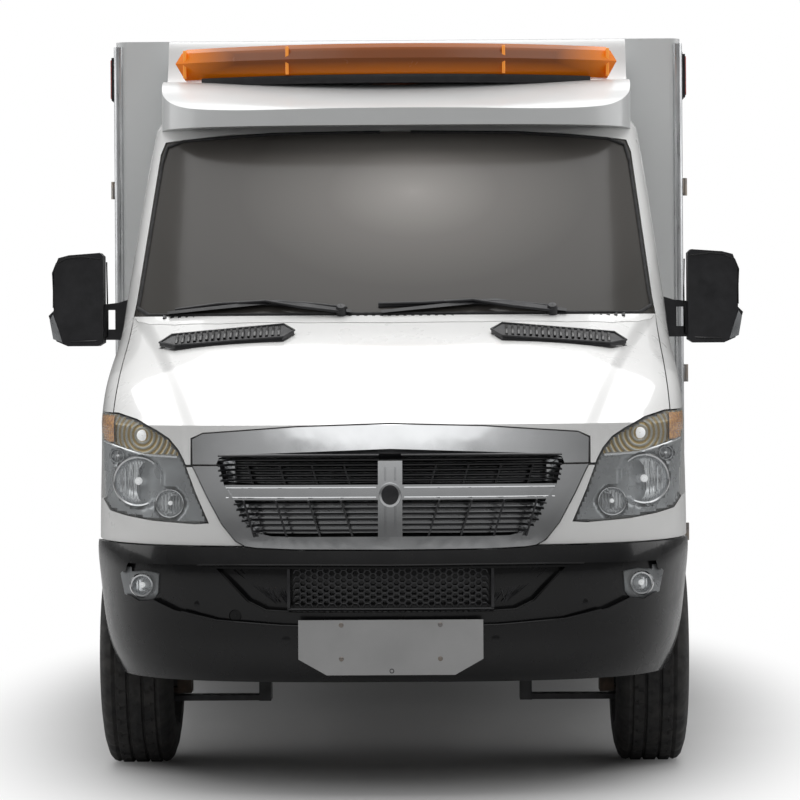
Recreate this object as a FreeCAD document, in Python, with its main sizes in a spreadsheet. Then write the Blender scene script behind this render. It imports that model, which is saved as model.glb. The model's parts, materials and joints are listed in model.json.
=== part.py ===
import FreeCAD, Part
import math
import os
import re
import Sketcher

# Box-bodied ambulance on a cab-chassis van, in millimetres.
# Axes: +X to the vehicle's left, +Y to its rear, +Z up.
# Origin: on the ground, midway along and across the vehicle.
# "depth" below is a distance behind the foremost point of the front bumper.

V = FreeCAD.Vector
doc = FreeCAD.newDocument("ambulance_van")

# ---------------------------------------------------------------- driving dimensions
DIMENSIONS = {
    "overall_length": 6100,
    "front_overhang": 1004,
    "wheelbase": 3665,
    "front_track": 1745,
    "rear_track": 1560,
    "twin_spacing": 282,
    "tyre_diameter": 774,
    "tyre_section": 248,
    "rim_diameter": 406,
    "rim_section": 178,
    "king_pin_x": 800,
    "steer_arch_radius": 446,
    "rear_arch_radius": 462,
    "rail_outer_x": 430,
    "rail_flange": 60,
    "rail_web": 6,
    "rail_bottom": 560,
    "rail_top": 700,
    "cab_back": 2480,
    "cab_belt_width": 1984,
    "cab_shell": 60,
    "cab_floor_top": 780,
    "door_front": 1480,
    "door_rear": 2400,
    "door_bottom": 470,
    "door_gap": 6,
    "skin_gap": 4,
    "hood_half_width": 918,
    "bumper_bottom": 358,
    "bumper_top": 796,
    "cowl_height": 1540,
    "hood_lip": 1184,
    "glass_top": 2218,
    "roof_top": 2365,
    "cap_top": 2587,
    "cap_half_width": 872,
    "lightbar_length": 1652,
    "lightbar_bottom": 2428,
    "lightbar_height": 117,
    "box_front": 2520,
    "box_length": 3450,
    "box_width": 2190,
    "box_bottom": 430,
    "box_top": 2610,
    "box_wall": 50,
    "box_floor_top": 790,
    "box_corner": 45,
    "rear_opening_width": 1320,
    "rear_opening_top": 2330,
    "side_door_width": 800,
    "locker_width": 620,
    "hinge_radius": 12,
    "glass_thickness": 5,
}

sheet = doc.addObject("Spreadsheet::Sheet", "Dims")
for row, (alias, number) in enumerate(DIMENSIONS.items(), start=1):
    sheet.set(f"A{row}", alias)
    sheet.set(f"B{row}", str(number))
    sheet.setAlias(f"B{row}", alias)
doc.recompute()


class Size:
    """The sheet's cells as numbers, for the shapes made by Part's own functions."""

    def __getattr__(self, alias):
        return float(sheet.get(alias))


size = Size()


def bound(text):
    """An expression with each cell's alias written out as the document reads it."""
    return re.sub(r"[a-z][a-z_]*[a-z]", lambda m: "Dims." + m[0] if m[0] in DIMENSIONS else m[0], str(text))


def at(depth):
    """The Y of a depth behind the front, as an expression."""
    return f"(({depth}) - overall_length / 2)"


def at_mm(depth):
    """The Y of a depth behind the front, as a number."""
    return depth - size.overall_length / 2


FRONT_AXLE = "front_overhang"
REAR_AXLE = "(front_overhang + wheelbase)"
TOW_EYE_X, TOW_EYE_Z = "-500", "575"
WHEEL_Z = "(tyre_diameter / 2)"
BOX_REAR = "(box_front + box_length)"
BOX_SIDE = "(box_width / 2)"

nodes = {}


# ---------------------------------------------------------------- modelling helpers
def place(thing, x="0", y="0", z="0"):
    thing.setExpression("Placement.Base.x", bound(x))
    thing.setExpression("Placement.Base.y", bound(y))
    thing.setExpression("Placement.Base.z", bound(z))
    return thing


def block(x, y, z, name="block"):
    """A Part::Box from three (low, high) pairs of expressions."""
    thing = doc.addObject("Part::Box", name)
    for prop, (low, high) in (("Length", x), ("Width", y), ("Height", z)):
        thing.setExpression(prop, bound(f"({high}) - ({low})"))
    return place(thing, x[0], y[0], z[0])


def blocks(x, y, z, name="block"):
    """A block and its mirror image across the vehicle's middle plane."""
    return [block(x, y, z, name), block((f"-({x[1]})", f"-({x[0]})"), y, z, name)]


def rod(radius, span, x, y, z, along="X", name="rod"):
    """A Part::Cylinder from its radius, its (low, high) span and its axis."""
    thing = doc.addObject("Part::Cylinder", name)
    thing.setExpression("Radius", bound(radius))
    thing.setExpression("Height", bound(f"({span[1]}) - ({span[0]})"))
    turn = {"X": (V(0, 1, 0), 90), "Y": (V(1, 0, 0), -90), "Z": (V(0, 0, 1), 0)}[along]
    thing.Placement.Rotation = FreeCAD.Rotation(*turn)
    start = {"X": (span[0], y, z), "Y": (x, span[0], z), "Z": (x, y, span[0])}[along]
    return place(thing, *start)


def fuse(things, name="fuse"):
    if len(things) == 1:
        return things[0]
    thing = doc.addObject("Part::MultiFuse", name)
    thing.Shapes = things
    thing.Refine = True
    return thing


def cut(base, tools, name="cut"):
    thing = doc.addObject("Part::Cut", name)
    thing.Base = base
    thing.Tool = fuse(list(tools), name + "_tools")
    thing.Refine = True
    return thing


def common(base, tool, name="common"):
    thing = doc.addObject("Part::Common", name)
    thing.Base = base
    thing.Tool = tool
    return thing


def solid(shape, name="solid"):
    """A Part::Feature for a shape that neither a primitive nor a feature fits."""
    thing = doc.addObject("Part::Feature", name)
    thing.Shape = shape
    return thing


def node(name, thing):
    """Names a finished sub-part; the label is its file's name."""
    thing.Label = name
    nodes[name] = thing
    return thing


def revolved(name, outline, x_centre, y_centre, z_centre, mirrored=False):
    """A PartDesign body turned about the X axis; outline is (x, radius) expressions."""
    body = doc.addObject("PartDesign::Body", name)
    sketch = body.newObject("Sketcher::SketchObject", name + "_section")
    plane = [f for f in body.Origin.OriginFeatures if f.Role == "XY_Plane"][0]
    sketch.AttachmentSupport = [(plane, "")]
    sketch.MapMode = "FlatFace"
    side = -1 if mirrored else 1
    written = [(bound(f"{side} * ({x})"), bound(r)) for x, r in outline]
    spots = [V(float(sheet.evalExpression(x)), float(sheet.evalExpression(r)), 0) for x, r in written]
    count = len(spots)
    for i in range(count):
        sketch.addGeometry(Part.LineSegment(spots[i], spots[(i + 1) % count]))
    for i in range(count):
        sketch.addConstraint(Sketcher.Constraint("Coincident", i, 2, (i + 1) % count, 1))
    for i in range(count):
        for kind, wanted, number in (("DistanceX", written[i][0], spots[i].x),
                                     ("DistanceY", written[i][1], spots[i].y)):
            index = sketch.addConstraint(Sketcher.Constraint(kind, -1, 1, i, 1, number))
            sketch.setExpression(f"Constraints[{index}]", wanted)
    turned = body.newObject("PartDesign::Revolution", name + "_turned")
    turned.Profile = sketch
    turned.ReferenceAxis = (sketch, ["H_Axis"])
    turned.Angle = 360
    doc.recompute()
    return place(body, x_centre, y_centre, z_centre)


# ---------------------------------------------------------------- the cab's surface
# Each level is one horizontal section of the cab's skin: its height, the depth of
# its front, the depth where its sides run straight, its half width, and the
# exponent of the superellipse between them.
def belt():
    return size.cab_belt_width / 2


def nose_levels():
    half = belt()
    return [
        (300, 90, 900, half - 7, 3.0),
        (620, 50, 900, half, 3.0),
        (size.bumper_top, 35, 900, half, 3.1),
        (1000, 60, 930, half - 2, 3.2),
        (size.hood_lip, 115, 960, half - 7, 3.8),
    ]


def hood_levels():
    half = belt()
    return [
        (size.hood_lip, 115, 960, half - 7, 3.8),
        (size.hood_lip + 66, 272, 1010, half - 9, 4.3),
        (size.hood_lip + 216, 628, 1330, half - 16, 4.0),
        (size.cowl_height, 975, 1560, half - 22, 3.1),
    ]


def glass_levels():
    half = belt()
    return [
        (size.cowl_height, 975, 1560, half - 22, 3.1),
        (1720, 1172, 1720, half - 37, 3.1),
        (1900, 1370, 1880, half - 54, 3.1),
        (2070, 1556, 2025, half - 71, 3.1),
        (size.glass_top + 22, 1742, 2190, half - 90, 3.1),
    ]


def roof_levels():
    half, top = belt(), size.roof_top
    return [
        (size.glass_top + 22, 1742, 2190, half - 90, 3.1),
        (top - 65, 1850, 2250, half - 132, 3.0),
        (top - 20, 2050, 2330, half - 230, 3.0),
        (top, 2200, 2400, half - 390, 3.0),
    ]


def bumper_levels():
    half, low, top = belt(), size.bumper_bottom, size.bumper_top
    return [
        (low, 92, 850, half - 66, 3.0),
        (low + 42, 46, 860, half - 50, 3.0),
        (low + 112, 26, 880, half - 28, 3.1),
        (low + 222, 20, 890, half - 10, 3.1),
        (top - 96, 2, 900, half + 3, 3.1),
        (top - 56, 6, 900, half + 7, 3.1),
        (top, 22, 900, half + 7, 3.1),
    ]


FRONT_POINTS = 8


def section(level, inset, back):
    """The closed wire of one horizontal section, moved inward by inset."""
    height, front, straight, half, power = level
    front, half = front + inset, half - inset
    reach = straight - front
    spots = []
    for i in range(-FRONT_POINTS, FRONT_POINTS + 1):
        angle = abs(i) / FRONT_POINTS * math.pi / 2
        x = math.copysign(half * math.sin(angle) ** (2 / power), i)
        y = straight - reach * math.cos(angle) ** (2 / power)
        spots.append(V(x, at_mm(y), height))
    curve = Part.BSplineCurve()
    curve.interpolate(spots)
    rear_left, rear_right = V(half, at_mm(back), height), V(-half, at_mm(back), height)
    edges = [
        curve.toShape(),
        Part.makeLine(spots[-1], rear_left),
        Part.makeLine(rear_left, rear_right),
        Part.makeLine(rear_right, spots[0]),
    ]
    return Part.Wire(edges)


def bulk(levels, inset=0, back=None):
    """The solid inside a stack of sections, closed at the cab's back."""
    back = size.cab_back if back is None else back
    return Part.makeLoft([section(level, inset, back) for level in levels], True, False, False, 3)


def stack(zones, inset=0, back=None, over=0):
    """Several zones in one solid, carried over a little below the first and above the last."""
    zones = [list(zone) for zone in zones]
    zones[0][0] = (zones[0][0][0] - over,) + zones[0][0][1:]
    zones[-1][-1] = (zones[-1][-1][0] + over,) + zones[-1][-1][1:]
    solids = [bulk(zone, inset, back) for zone in zones]
    return solids[0].fuse(solids[1:]) if len(solids) > 1 else solids[0]


def skin(zones, outer, inner, back=None):
    """The part of some zones between two insets, open at the back."""
    end = size.cab_back if back is None else back
    return stack(zones, outer, end).cut(stack(zones, inner, end + 100, 1))


def front_prism(outline, low=-400, high=3000):
    """A prism along Y from an (x, z) outline, between two depths."""
    spots = [V(x, at_mm(low), z) for x, z in outline]
    return Part.Face(Part.makePolygon(spots + spots[:1])).extrude(V(0, high - low, 0))


def side_prism(outline, low=0, high=1400):
    """A prism along X from a (depth, z) outline."""
    spots = [V(low, at_mm(y), z) for y, z in outline]
    return Part.Face(Part.makePolygon(spots + spots[:1])).extrude(V(high - low, 0, 0))


def top_prism(outline, low=1000, high=1700):
    """A prism along Z from an (x, depth) outline."""
    spots = [V(x, at_mm(y), low) for x, y in outline]
    return Part.Face(Part.makePolygon(spots + spots[:1])).extrude(V(0, 0, high - low))


def grown(outline, gap):
    """An outline of corners moved outward by gap (inward if negative)."""
    face = Part.Face(Part.makePolygon([V(a, b, 0) for a, b in outline + outline[:1]]))
    if abs(gap) < 1e-6:
        return outline
    wire = face.OuterWire.makeOffset2D(gap, 2)
    return [(v.Point.x, v.Point.y) for v in wire.OrderedVertexes]


def mirror_x(shape):
    return shape.mirror(V(0, 0, 0), V(1, 0, 0))


def both(shape):
    """A shape with its mirror image, as one compound of two solids."""
    return Part.makeCompound(shape.Solids + mirror_x(shape).Solids)


def flipped(outline):
    return [(-x, z) for x, z in reversed(outline)]


def whole(right_half):
    """A closed outline from its left half, listed from the middle plane round to it."""
    return right_half + [(-x, z) for x, z in reversed(right_half) if x > 0]


# ---------------------------------------------------------------- outlines of the front
HEADLAMP = [
    (590, 874), (634, 972), (672, 1070), (690, 1103), (720, 1138), (763, 1165), (832, 1199),
    (900, 1217), (1100, 1224), (1100, 940), (959, 938), (928, 903), (864, 891), (773, 879), (631, 871),
]
GRILLE_OUTER = [
    (0, 788), (300, 790), (430, 795), (466, 800), (497, 817), (541, 871), (592, 963), (630, 1040),
    (638, 1054),
    (0, 1054),
]
GRILLE_INNER = [
    (0, 829), (300, 829), (381, 831), (430, 841), (466, 875), (500, 945), (535, 996), (548, 1050),
    (548, 1070),
    (0, 1070),
]
TOP_BAR = [(0, 1108), (520, 1090), (552, 1080), (560, 1060), (638, 1060), (640, 1140), (606, 1157),
           (300, 1178), (0, 1186)]
SCREEN = [(0, 1536), (700, 1536), (880, 1534), (921, 1536), (912, 1600), (868, 2140), (852, 2186),
          (600, 2207), (0, 2218)]
COWL_LINE = [(0, 905), (300, 912), (600, 948), (760, 1008), (850, 1085), (900, 1170), (919, 1236)]
HOOD_VENT = [(333, 815), (372, 757), (742, 757), (800, 815), (760, 873), (372, 873)]
DOOR_WINDOW = [(1640, 1400), (1650, 1640), (1955, 2005), (2005, 2055), (2300, 2078), (2330, 2052),
               (2330, 1400)]


def door_outline():
    front, rear, low = size.door_front, size.door_rear, size.door_bottom
    return [(front, low), (front, 1600), (1905, 2088), (1980, 2150), (rear - 40, 2172), (rear, 2132),
            (rear, low)]


def whole_plan(left_half, back):
    """An (x, depth) line across the vehicle, from its left half, moved back."""
    line = [(x, y + back) for x, y in reversed(left_half)]
    return line + [(-x, y + back) for x, y in left_half if x > 0]


def lower_cab(outer, inner):
    return skin([nose_levels(), hood_levels()], outer, inner)


# ---------------------------------------------------------------- chassis
def make_chassis_frame():
    pieces = []
    first, last = at("190"), at(f"{BOX_REAR} - 20")
    for rail in blocks(("rail_outer_x - rail_flange", "rail_outer_x"), (first, last),
                       ("rail_bottom", "rail_top"), "rail"):
        pieces.append(rail)
    hollows = blocks(
        ("rail_outer_x - rail_flange - 1", "rail_outer_x - rail_web"),
        (at("189"), at(f"{BOX_REAR} - 19")),
        ("rail_bottom + rail_web", "rail_top - rail_web"),
        "rail_hollow",
    )
    rails = cut(fuse(pieces, "rails"), hollows, "channel_rails")
    members = [rails]
    for depth in ("230", "2000", "3150", "4000", "5300", f"{BOX_REAR} - 80"):
        members.append(block(
            ("-rail_outer_x + rail_web / 2", "rail_outer_x - rail_web / 2"),
            (at(depth), at(f"{depth} + 60")),
            ("rail_top - 66", "rail_top - rail_web / 2"), "cross_member",
        ))
    for share in (0.01, 0.29, 0.46, 0.88, 0.98):
        members.append(block(
            (f"-{BOX_SIDE} + box_wall + 5", f"{BOX_SIDE} - box_wall - 5"),
            (at(f"box_front + 60 + {share} * (box_length - 180)"),
             at(f"box_front + 120 + {share} * (box_length - 180)")),
            ("rail_top - 2", "box_floor_top - 50"), "body_bearer",
        ))
    members.append(block(("-540", "540"), (at("150"), at("197")), ("rail_bottom - 40", "rail_bottom + 60"),
                         "bumper_beam"))
    for depth in ("1750", "2250"):
        members += blocks(("rail_outer_x - rail_flange", "rail_outer_x"), (at(depth), at(f"{depth} + 80")),
                          ("rail_top - 1", "cab_floor_top - 40"), "cab_mount")
    socket = rod("10", (at("149"), at("190")), TOW_EYE_X, "0", TOW_EYE_Z, "Y", "tow_eye_socket")
    node("chassis_frame", cut(fuse(members, "frame"), [socket], "frame_with_socket"))


def make_powertrain():
    engine = block(("-285", "285"), (at("400"), at("1140")), ("500", "1120"), "engine")
    gearbox = block(("-165", "165"), (at("1140"), at("1860")), ("470", "725"), "gearbox")
    node("powertrain", fuse([engine, gearbox], "engine_and_gearbox"))


def make_prop_shaft():
    start = V(0, at_mm(1872), 560)
    end = V(0, at_mm(size.front_overhang + size.wheelbase - 182), size.tyre_diameter / 2 + 10)
    line = end - start
    node("prop_shaft", solid(Part.makeCylinder(42, line.Length, start, line), "shaft"))


def make_exhaust():
    side = "-275"
    silencer = rod("95", (at("2150"), at("2850")), side, "0", "600", "Y", "silencer")
    front = rod("32", (at("1250"), at("2152")), side, "0", "600", "Y", "front_pipe")
    rear = rod("32", (at("2848"), at(f"{REAR_AXLE} - 500")), side, "0", "600", "Y", "rear_pipe")
    side_pipe = rod("29", (f"-{BOX_SIDE} + 75", f"{side}"), "0", at(f"{REAR_AXLE} - 540"), "440", "X",
                    "outlet")
    drop = rod("36", ("404", "640"), side, at(f"{REAR_AXLE} - 540"), "0", "Z", "drop")
    node("exhaust", fuse([silencer, front, rear, drop, side_pipe], "pipes"))


def make_fuel_tank():
    tank = block(("440", "840"), (at("2620"), at("3520")), ("440", "690"), "tank_block")
    doc.recompute()
    round_tank = doc.addObject("Part::Fillet", "tank")
    round_tank.Base = tank
    round_tank.Edges = [(i, 35, 35) for i in (1, 3, 5, 7, 9, 10, 11, 12, 2, 4, 6, 8)]
    node("fuel_tank", round_tank)


def make_front_suspension():
    beam = block(("-430", "430"), (at("930"), at("1075")), ("330", "420"), "cross_beam")
    posts = blocks(("376", "424"), (at("960"), at("1050")), ("419", "rail_bottom"), "beam_post")
    arms = blocks(("429", "king_pin_x"), (at("965"), at("1043")), ("212", "230"), "arm")
    links = blocks(("429", "470"), (at("950"), at("1058")), ("212", "335"), "arm_bracket")
    pads = [
        rod("39", ("212", "230"), side + "king_pin_x", at(FRONT_AXLE), "0", "Z",
            "ball_joint_pad") for side in ("", "-")
    ]
    struts = [rod("34", ("540", "1010"), side + "640", at(FRONT_AXLE), "0", "Z", "strut") for side in ("",
            "-")]
    cups = blocks(("rail_outer_x", "690"), (at("965"), at("1043")), ("rail_top - 60", "rail_top - 20"),
                  "strut_mount")
    node("front_suspension", fuse([beam] + posts + arms + links + pads + struts + cups, "suspension"))


def make_rear_axle():
    y, z = at(REAR_AXLE), WHEEL_Z
    tube = rod("55", ("-rear_track / 2 + 140", "rear_track / 2 - 140"), "0", y, z, "X", "axle_tube")
    spindles = [
        rod("30", ("rear_track / 2 - 141", "rear_track / 2 + 40"), "0", y, z, "X", "spindle"),
        rod("30", ("-rear_track / 2 - 40", "-rear_track / 2 + 141"), "0", y, z, "X", "spindle"),
    ]
    case = rod("165", (f"{y} - 130", f"{y} + 130"), "0", "0", z, "Y", "differential")
    nose = rod("60", (f"{y} - 170", f"{y} - 129"), "0", "0", f"{z} + 10", "Y", "pinion_nose")
    pads = blocks(("436", "500"), (f"{y} - 60", f"{y} + 60"), (f"{z} + 40", f"{z} + 62"), "spring_pad")
    node("rear_axle", fuse([tube, case, nose] + spindles + pads, "axle"))


def make_leaf_springs():
    reach, thick = 700, 42
    centre = size.front_overhang + size.wheelbase
    seat = size.tyre_diameter / 2 + 62
    eye = size.rail_bottom - 10
    lower = [V(0, at_mm(centre + t * reach), eye + (seat - eye) * (1 - t * t)) for t in (-1, 0, 1)]
    upper = [p + V(0, 0, thick) for p in lower]
    edges = [
        Part.Arc(*lower).toShape(),
        Part.makeLine(lower[2], upper[2]),
        Part.Arc(*reversed(upper)).toShape(),
        Part.makeLine(upper[0], lower[0]),
    ]
    leaf = Part.Face(Part.Wire(edges)).extrude(V(64, 0, 0))
    hangers = [
        Part.makeBox(70, 60, 130, V(size.rail_outer_x - 436, at_mm(centre + side * (reach - 20)) - 30,
                                    eye - 12))
        for side in (-1, 1)
    ]
    spring = leaf.fuse(hangers)
    spring.translate(V(436, 0, 0))
    node("leaf_springs", solid(both(spring), "springs"))


# ---------------------------------------------------------------- wheels
def wheel(name, track, y, twin, mirrored):
    """One wheel position: its tyre or tyres and its rim, turned about the axle."""
    tyre_half, tread, bead = "tyre_section / 2", "tyre_diameter / 2", "rim_diameter / 2"
    offsets = ("-twin_spacing / 2", "twin_spacing / 2") if twin else ("0",)
    side = -1 if mirrored else 1
    tyres, rims = [], []
    for i, offset in enumerate(offsets):
        tyre = [
            (f"{offset} - rim_section / 2 + 14", f"{bead} + 1"),
            (f"{offset} - rim_section / 2 + 9", f"{bead} + 14"),
            (f"{offset} - rim_section / 2 - 4", f"{bead} + 34"),
            (f"{offset} - {tyre_half} + 4", f"{bead} + 70"),
            (f"{offset} - {tyre_half}", f"{bead} + 95"),
            (f"{offset} - {tyre_half} + 8", f"{bead} + 135"),
            (f"{offset} - {tyre_half} + 22", f"{tread} - 16"),
            (f"{offset} - {tyre_half} + 38", f"{tread} - 3"),
            (f"{offset} - {tyre_half} + 80", tread),
            (f"{offset} + {tyre_half} - 80", tread),
            (f"{offset} + {tyre_half} - 38", f"{tread} - 3"),
            (f"{offset} + {tyre_half} - 22", f"{tread} - 16"),
            (f"{offset} + {tyre_half} - 8", f"{bead} + 135"),
            (f"{offset} + {tyre_half}", f"{bead} + 95"),
            (f"{offset} + {tyre_half} - 4", f"{bead} + 70"),
            (f"{offset} + rim_section / 2 + 4", f"{bead} + 34"),
            (f"{offset} + rim_section / 2 - 9", f"{bead} + 14"),
            (f"{offset} + rim_section / 2 - 14", f"{bead} + 1"),
        ]
        tyres.append(revolved(f"tyre_{name}_{i}", tyre, f"{side} * {track} / 2", y, WHEEL_Z, mirrored))
    if twin:
        rims.append(revolved(f"rim_{name}", twin_rim_section(), f"{side} * {track} / 2", y, WHEEL_Z,
                             mirrored))
    else:
        rims.append(revolved(f"rim_{name}", single_rim_section(), f"{side} * {track} / 2", y, WHEEL_Z,
                             mirrored))
    node("tyre_" + name, fuse(tyres, "tyres_" + name))
    rim = cut(rims[0], rim_holes(track, y, side, twin), "rim_with_holes_" + name)
    node("rim_" + name, rim)


HAND_HOLES = 8


def rim_holes(track, y, side, twin):
    """The ring of hand holes through a wheel disc, beside the hub."""
    holes = []
    spread = "twin_spacing / 2 + rim_section" if twin else "rim_section"
    for i in range(HAND_HOLES):
        angle = 360 / HAND_HOLES * i
        radial = "(rim_diameter / 2 - 52)"
        holes.append(rod(
            "17", (f"{side} * {track} / 2 - {spread}", f"{side} * {track} / 2 + {spread}"), "0",
            f"{y} + {radial} * cos({angle})", f"{WHEEL_Z} + {radial} * sin({angle})", "X", "hand_hole",
        ))
    return holes


def single_rim_section():
    """A front wheel: barrel, outboard disc, hub and brake disc, from its bore out."""
    bead, half = "rim_diameter / 2", "rim_section / 2"
    return [
        ("-92", "31"), ("-92", "70"), ("-97", "70"), ("-97", "120"), ("-71", "120"), ("-71", "70"),
        ("30", "70"), ("30", "110"),
        (f"{half} - 52", "120"), (f"{half} - 40", "160"), (f"{half} - 42", f"{bead} - 12"),
        (f"-{half} + 6", f"{bead} - 12"), (f"-{half}", f"{bead} + 12"), (f"-{half} + 7", f"{bead} + 12"),
        (f"-{half} + 12", bead), (f"{half} - 12", bead), (f"{half} - 7", f"{bead} + 12"),
        (half, f"{bead} + 12"),
        (f"{half} - 6", f"{bead} - 12"), (f"{half} - 26", f"{bead} - 12"), (f"{half} - 24", "165"),
        (f"{half} - 36", "110"),
        ("46", "100"), ("46", "64"), ("84", "58"), ("84", "31"),
    ]


def twin_rim_section():
    """A twin rear wheel: two barrels whose dished discs meet at the hub."""
    bead, half, gap = "rim_diameter / 2", "rim_section / 2", "twin_spacing / 2"
    return [
        ("-60", "31"), ("-60", "78"), ("-10", "78"), ("-10", "120"), (f"-{gap} + {half} - 24", "160"),
        (f"-{gap} + {half} - 26", f"{bead} - 12"), (f"-{gap} - {half} + 6", f"{bead} - 12"),
        (f"-{gap} - {half}", f"{bead} + 12"),
        (f"-{gap} - {half} + 7", f"{bead} + 12"), (f"-{gap} - {half} + 12", bead),
        (f"-{gap} + {half} - 12", bead),
        (f"-{gap} + {half} - 7", f"{bead} + 12"), (f"-{gap} + {half}", f"{bead} + 12"),
        (f"-{gap} + {half} - 6", f"{bead} - 12"),
        (f"-{gap} + {half} - 10", f"{bead} - 16"), (f"-{gap} + {half} - 8", "162"), ("0", "128"),
        (f"{gap} - {half} + 8", "162"), (f"{gap} - {half} + 10", f"{bead} - 16"),
        (f"{gap} - {half} + 6", f"{bead} - 12"),
        (f"{gap} - {half}", f"{bead} + 12"), (f"{gap} - {half} + 7", f"{bead} + 12"),
        (f"{gap} - {half} + 12", bead),
        (f"{gap} + {half} - 12", bead), (f"{gap} + {half} - 7", f"{bead} + 12"),
        (f"{gap} + {half}", f"{bead} + 12"),
        (f"{gap} + {half} - 6", f"{bead} - 12"), (f"{gap} - {half} + 26", f"{bead} - 12"),
        (f"{gap} - {half} + 24", "160"),
        ("10", "120"), ("10", "78"), ("90", "66"), ("90", "31"),
    ]


def make_wheels():
    for side, mirrored in (("left", False), ("right", True)):
        wheel("front_" + side, "front_track", at(FRONT_AXLE), False, mirrored)
        wheel("rear_" + side, "rear_track", at(REAR_AXLE), True, mirrored)


def make_knuckles():
    for side, sign in (("left", ""), ("right", "-")):
        def pair(low, high):
            return (low, high) if sign == "" else (f"-({high})", f"-({low})")

        y = at(FRONT_AXLE)
        stub = rod("30", pair("king_pin_x - 90", "king_pin_x + 144"), "0", y, WHEEL_Z, "X", "stub_axle")
        upright = block(pair("king_pin_x - 96", "king_pin_x - 48"), (f"{y} - 55", f"{y} + 55"),
                        ("240", "520"), "upright")
        lug = block(pair("king_pin_x - 60", "king_pin_x + 24"), (f"{y} - 26", f"{y} + 26"), ("240", "258"),
                    "lower_lug")
        pin = rod("18", ("235", "257"), sign + "king_pin_x", y, "0", "Z", "ball_pin")
        steering_arm = block(pair("king_pin_x - 92", "king_pin_x - 62"), (f"{y} + 50", f"{y} + 150"),
                             ("300", "330"), "steering_arm")
        caliper = block(pair("king_pin_x - 62", "king_pin_x - 34"), (f"{y} - 168", f"{y} - 60"),
                        (f"{WHEEL_Z} + 10", f"{WHEEL_Z} + 90"), "caliper")
        carrier = block(pair("king_pin_x - 92", "king_pin_x - 61"), (f"{y} - 120", f"{y} - 50"),
                        (f"{WHEEL_Z} + 10", f"{WHEEL_Z} + 60"), "caliper_carrier")
        node("knuckle_" + side, fuse([stub, upright, lug, pin, steering_arm, carrier, caliper], "knuckle"))


# ---------------------------------------------------------------- cab
def make_cab_floor():
    z = ("cab_floor_top - 40", "cab_floor_top")
    back = at("cab_back - cab_shell - 1")
    pieces = [
        block(("-905", "905"), (at("door_front + 10"), back), z, "floor"),
        block(("-520", "520"), (at("1205"), at("door_front + 11")), z, "foot_floor"),
        block(("-520", "520"), (at("1180"), at("1206")), ("cab_floor_top - 40", "1399"), "firewall"),
    ]
    pieces += blocks(("519", "900"), (at("1180"), at("1206")), ("860", "1399"), "firewall_side")
    pieces += blocks(("519", "900"), (at("1205"), at("door_front + 11")), ("860", "885"), "wheel_shelf")
    pieces += blocks(("519", "900"), (at("door_front + 10"), at("door_front + 36")),
                     ("cab_floor_top - 1", "885"), "shelf_back")
    pieces += blocks(("505", "521"), (at("1205"), at("door_front + 11")), ("cab_floor_top - 1", "885"),
                     "shelf_side")
    pieces += blocks(("690", "905"), (at("door_front + 30"), at("2300")),
                     ("door_bottom - 30", "door_bottom"), "step")
    pieces += blocks(("690", "710"), (at("door_front + 30"), at("2300")),
                     ("door_bottom - 1", "cab_floor_top - 39"), "step_riser")
    node("cab_floor", fuse(pieces, "floor_pan"))


def cab_wall():
    """The cab's whole outer wall, one shell thick, closed at the back and open below."""
    wall = size.cab_shell
    zones = [nose_levels(), hood_levels(), glass_levels(), roof_levels()]
    foot = roof_levels()[0][0]
    press = (size.roof_top - wall - foot) / (size.roof_top - foot)
    ceiling = [(foot + (level[0] - foot) * press,) + level[1:] for level in roof_levels()]
    room = [[(nose_levels()[0][0] - 1,) + nose_levels()[0][1:]] + nose_levels()[1:], hood_levels(),
            glass_levels(), ceiling]
    return stack(zones).cut(stack(room, wall, size.cab_back - wall))


def make_cab_shell(wall):
    pillar = size.door_front - 62
    behind_nose = side_prism([(pillar, 430), (pillar, 1440), (1242, 1495), (1242, 2500), (2700, 2500),
                              (2700, 430)], -1400)
    behind_hood = top_prism(whole_plan(COWL_LINE, size.door_gap) + [(-919, 1300), (919, 1300)], 1400, 2500)
    shell = wall.common(behind_nose.fuse(behind_hood))
    screen = front_prism(whole(SCREEN), 0, 2100)
    rebate = skin([glass_levels()], -30, 14, 2300).common(screen)
    opening = front_prism(grown(whole(SCREEN), -26), 0, 2100)
    shell = shell.cut([rebate, opening])
    doorway = side_prism(door_outline(), 700, 1400)
    rail_gap = Part.makeBox(1760, 200, 438, V(-880, at_mm(size.cab_back - 100), 300))
    shell = shell.cut([doorway, mirror_x(doorway), rail_gap])
    tray = Part.makeBox(1720, 290, 16, V(-860, at_mm(920), 1494)).common(behind_hood)
    panel = Part.makeBox(1720, 60, 100, V(-860, at_mm(1150), 1400))
    shell = shell.fuse([tray, panel])
    node("cab_shell", solid(max(shell.Solids, key=lambda s: s.Volume), "shell"))


def make_windscreen():
    glass = skin([glass_levels()], 4, 4 + size.glass_thickness,
                 2300).common(front_prism(grown(whole(SCREEN), -3), 0, 2100))
    node("windscreen", solid(glass, "screen"))


def hood_region():
    outline = [(0, 1190), (300, 1182), (606, 1161), (646, 1143), (646, 1058), (670, 1058)]
    outline += [(676, 1070), (700, 1100), (size.hood_half_width, 1190)]
    outline += [(size.hood_half_width, 1545), (0, 1545)]
    return whole(outline)


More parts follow.
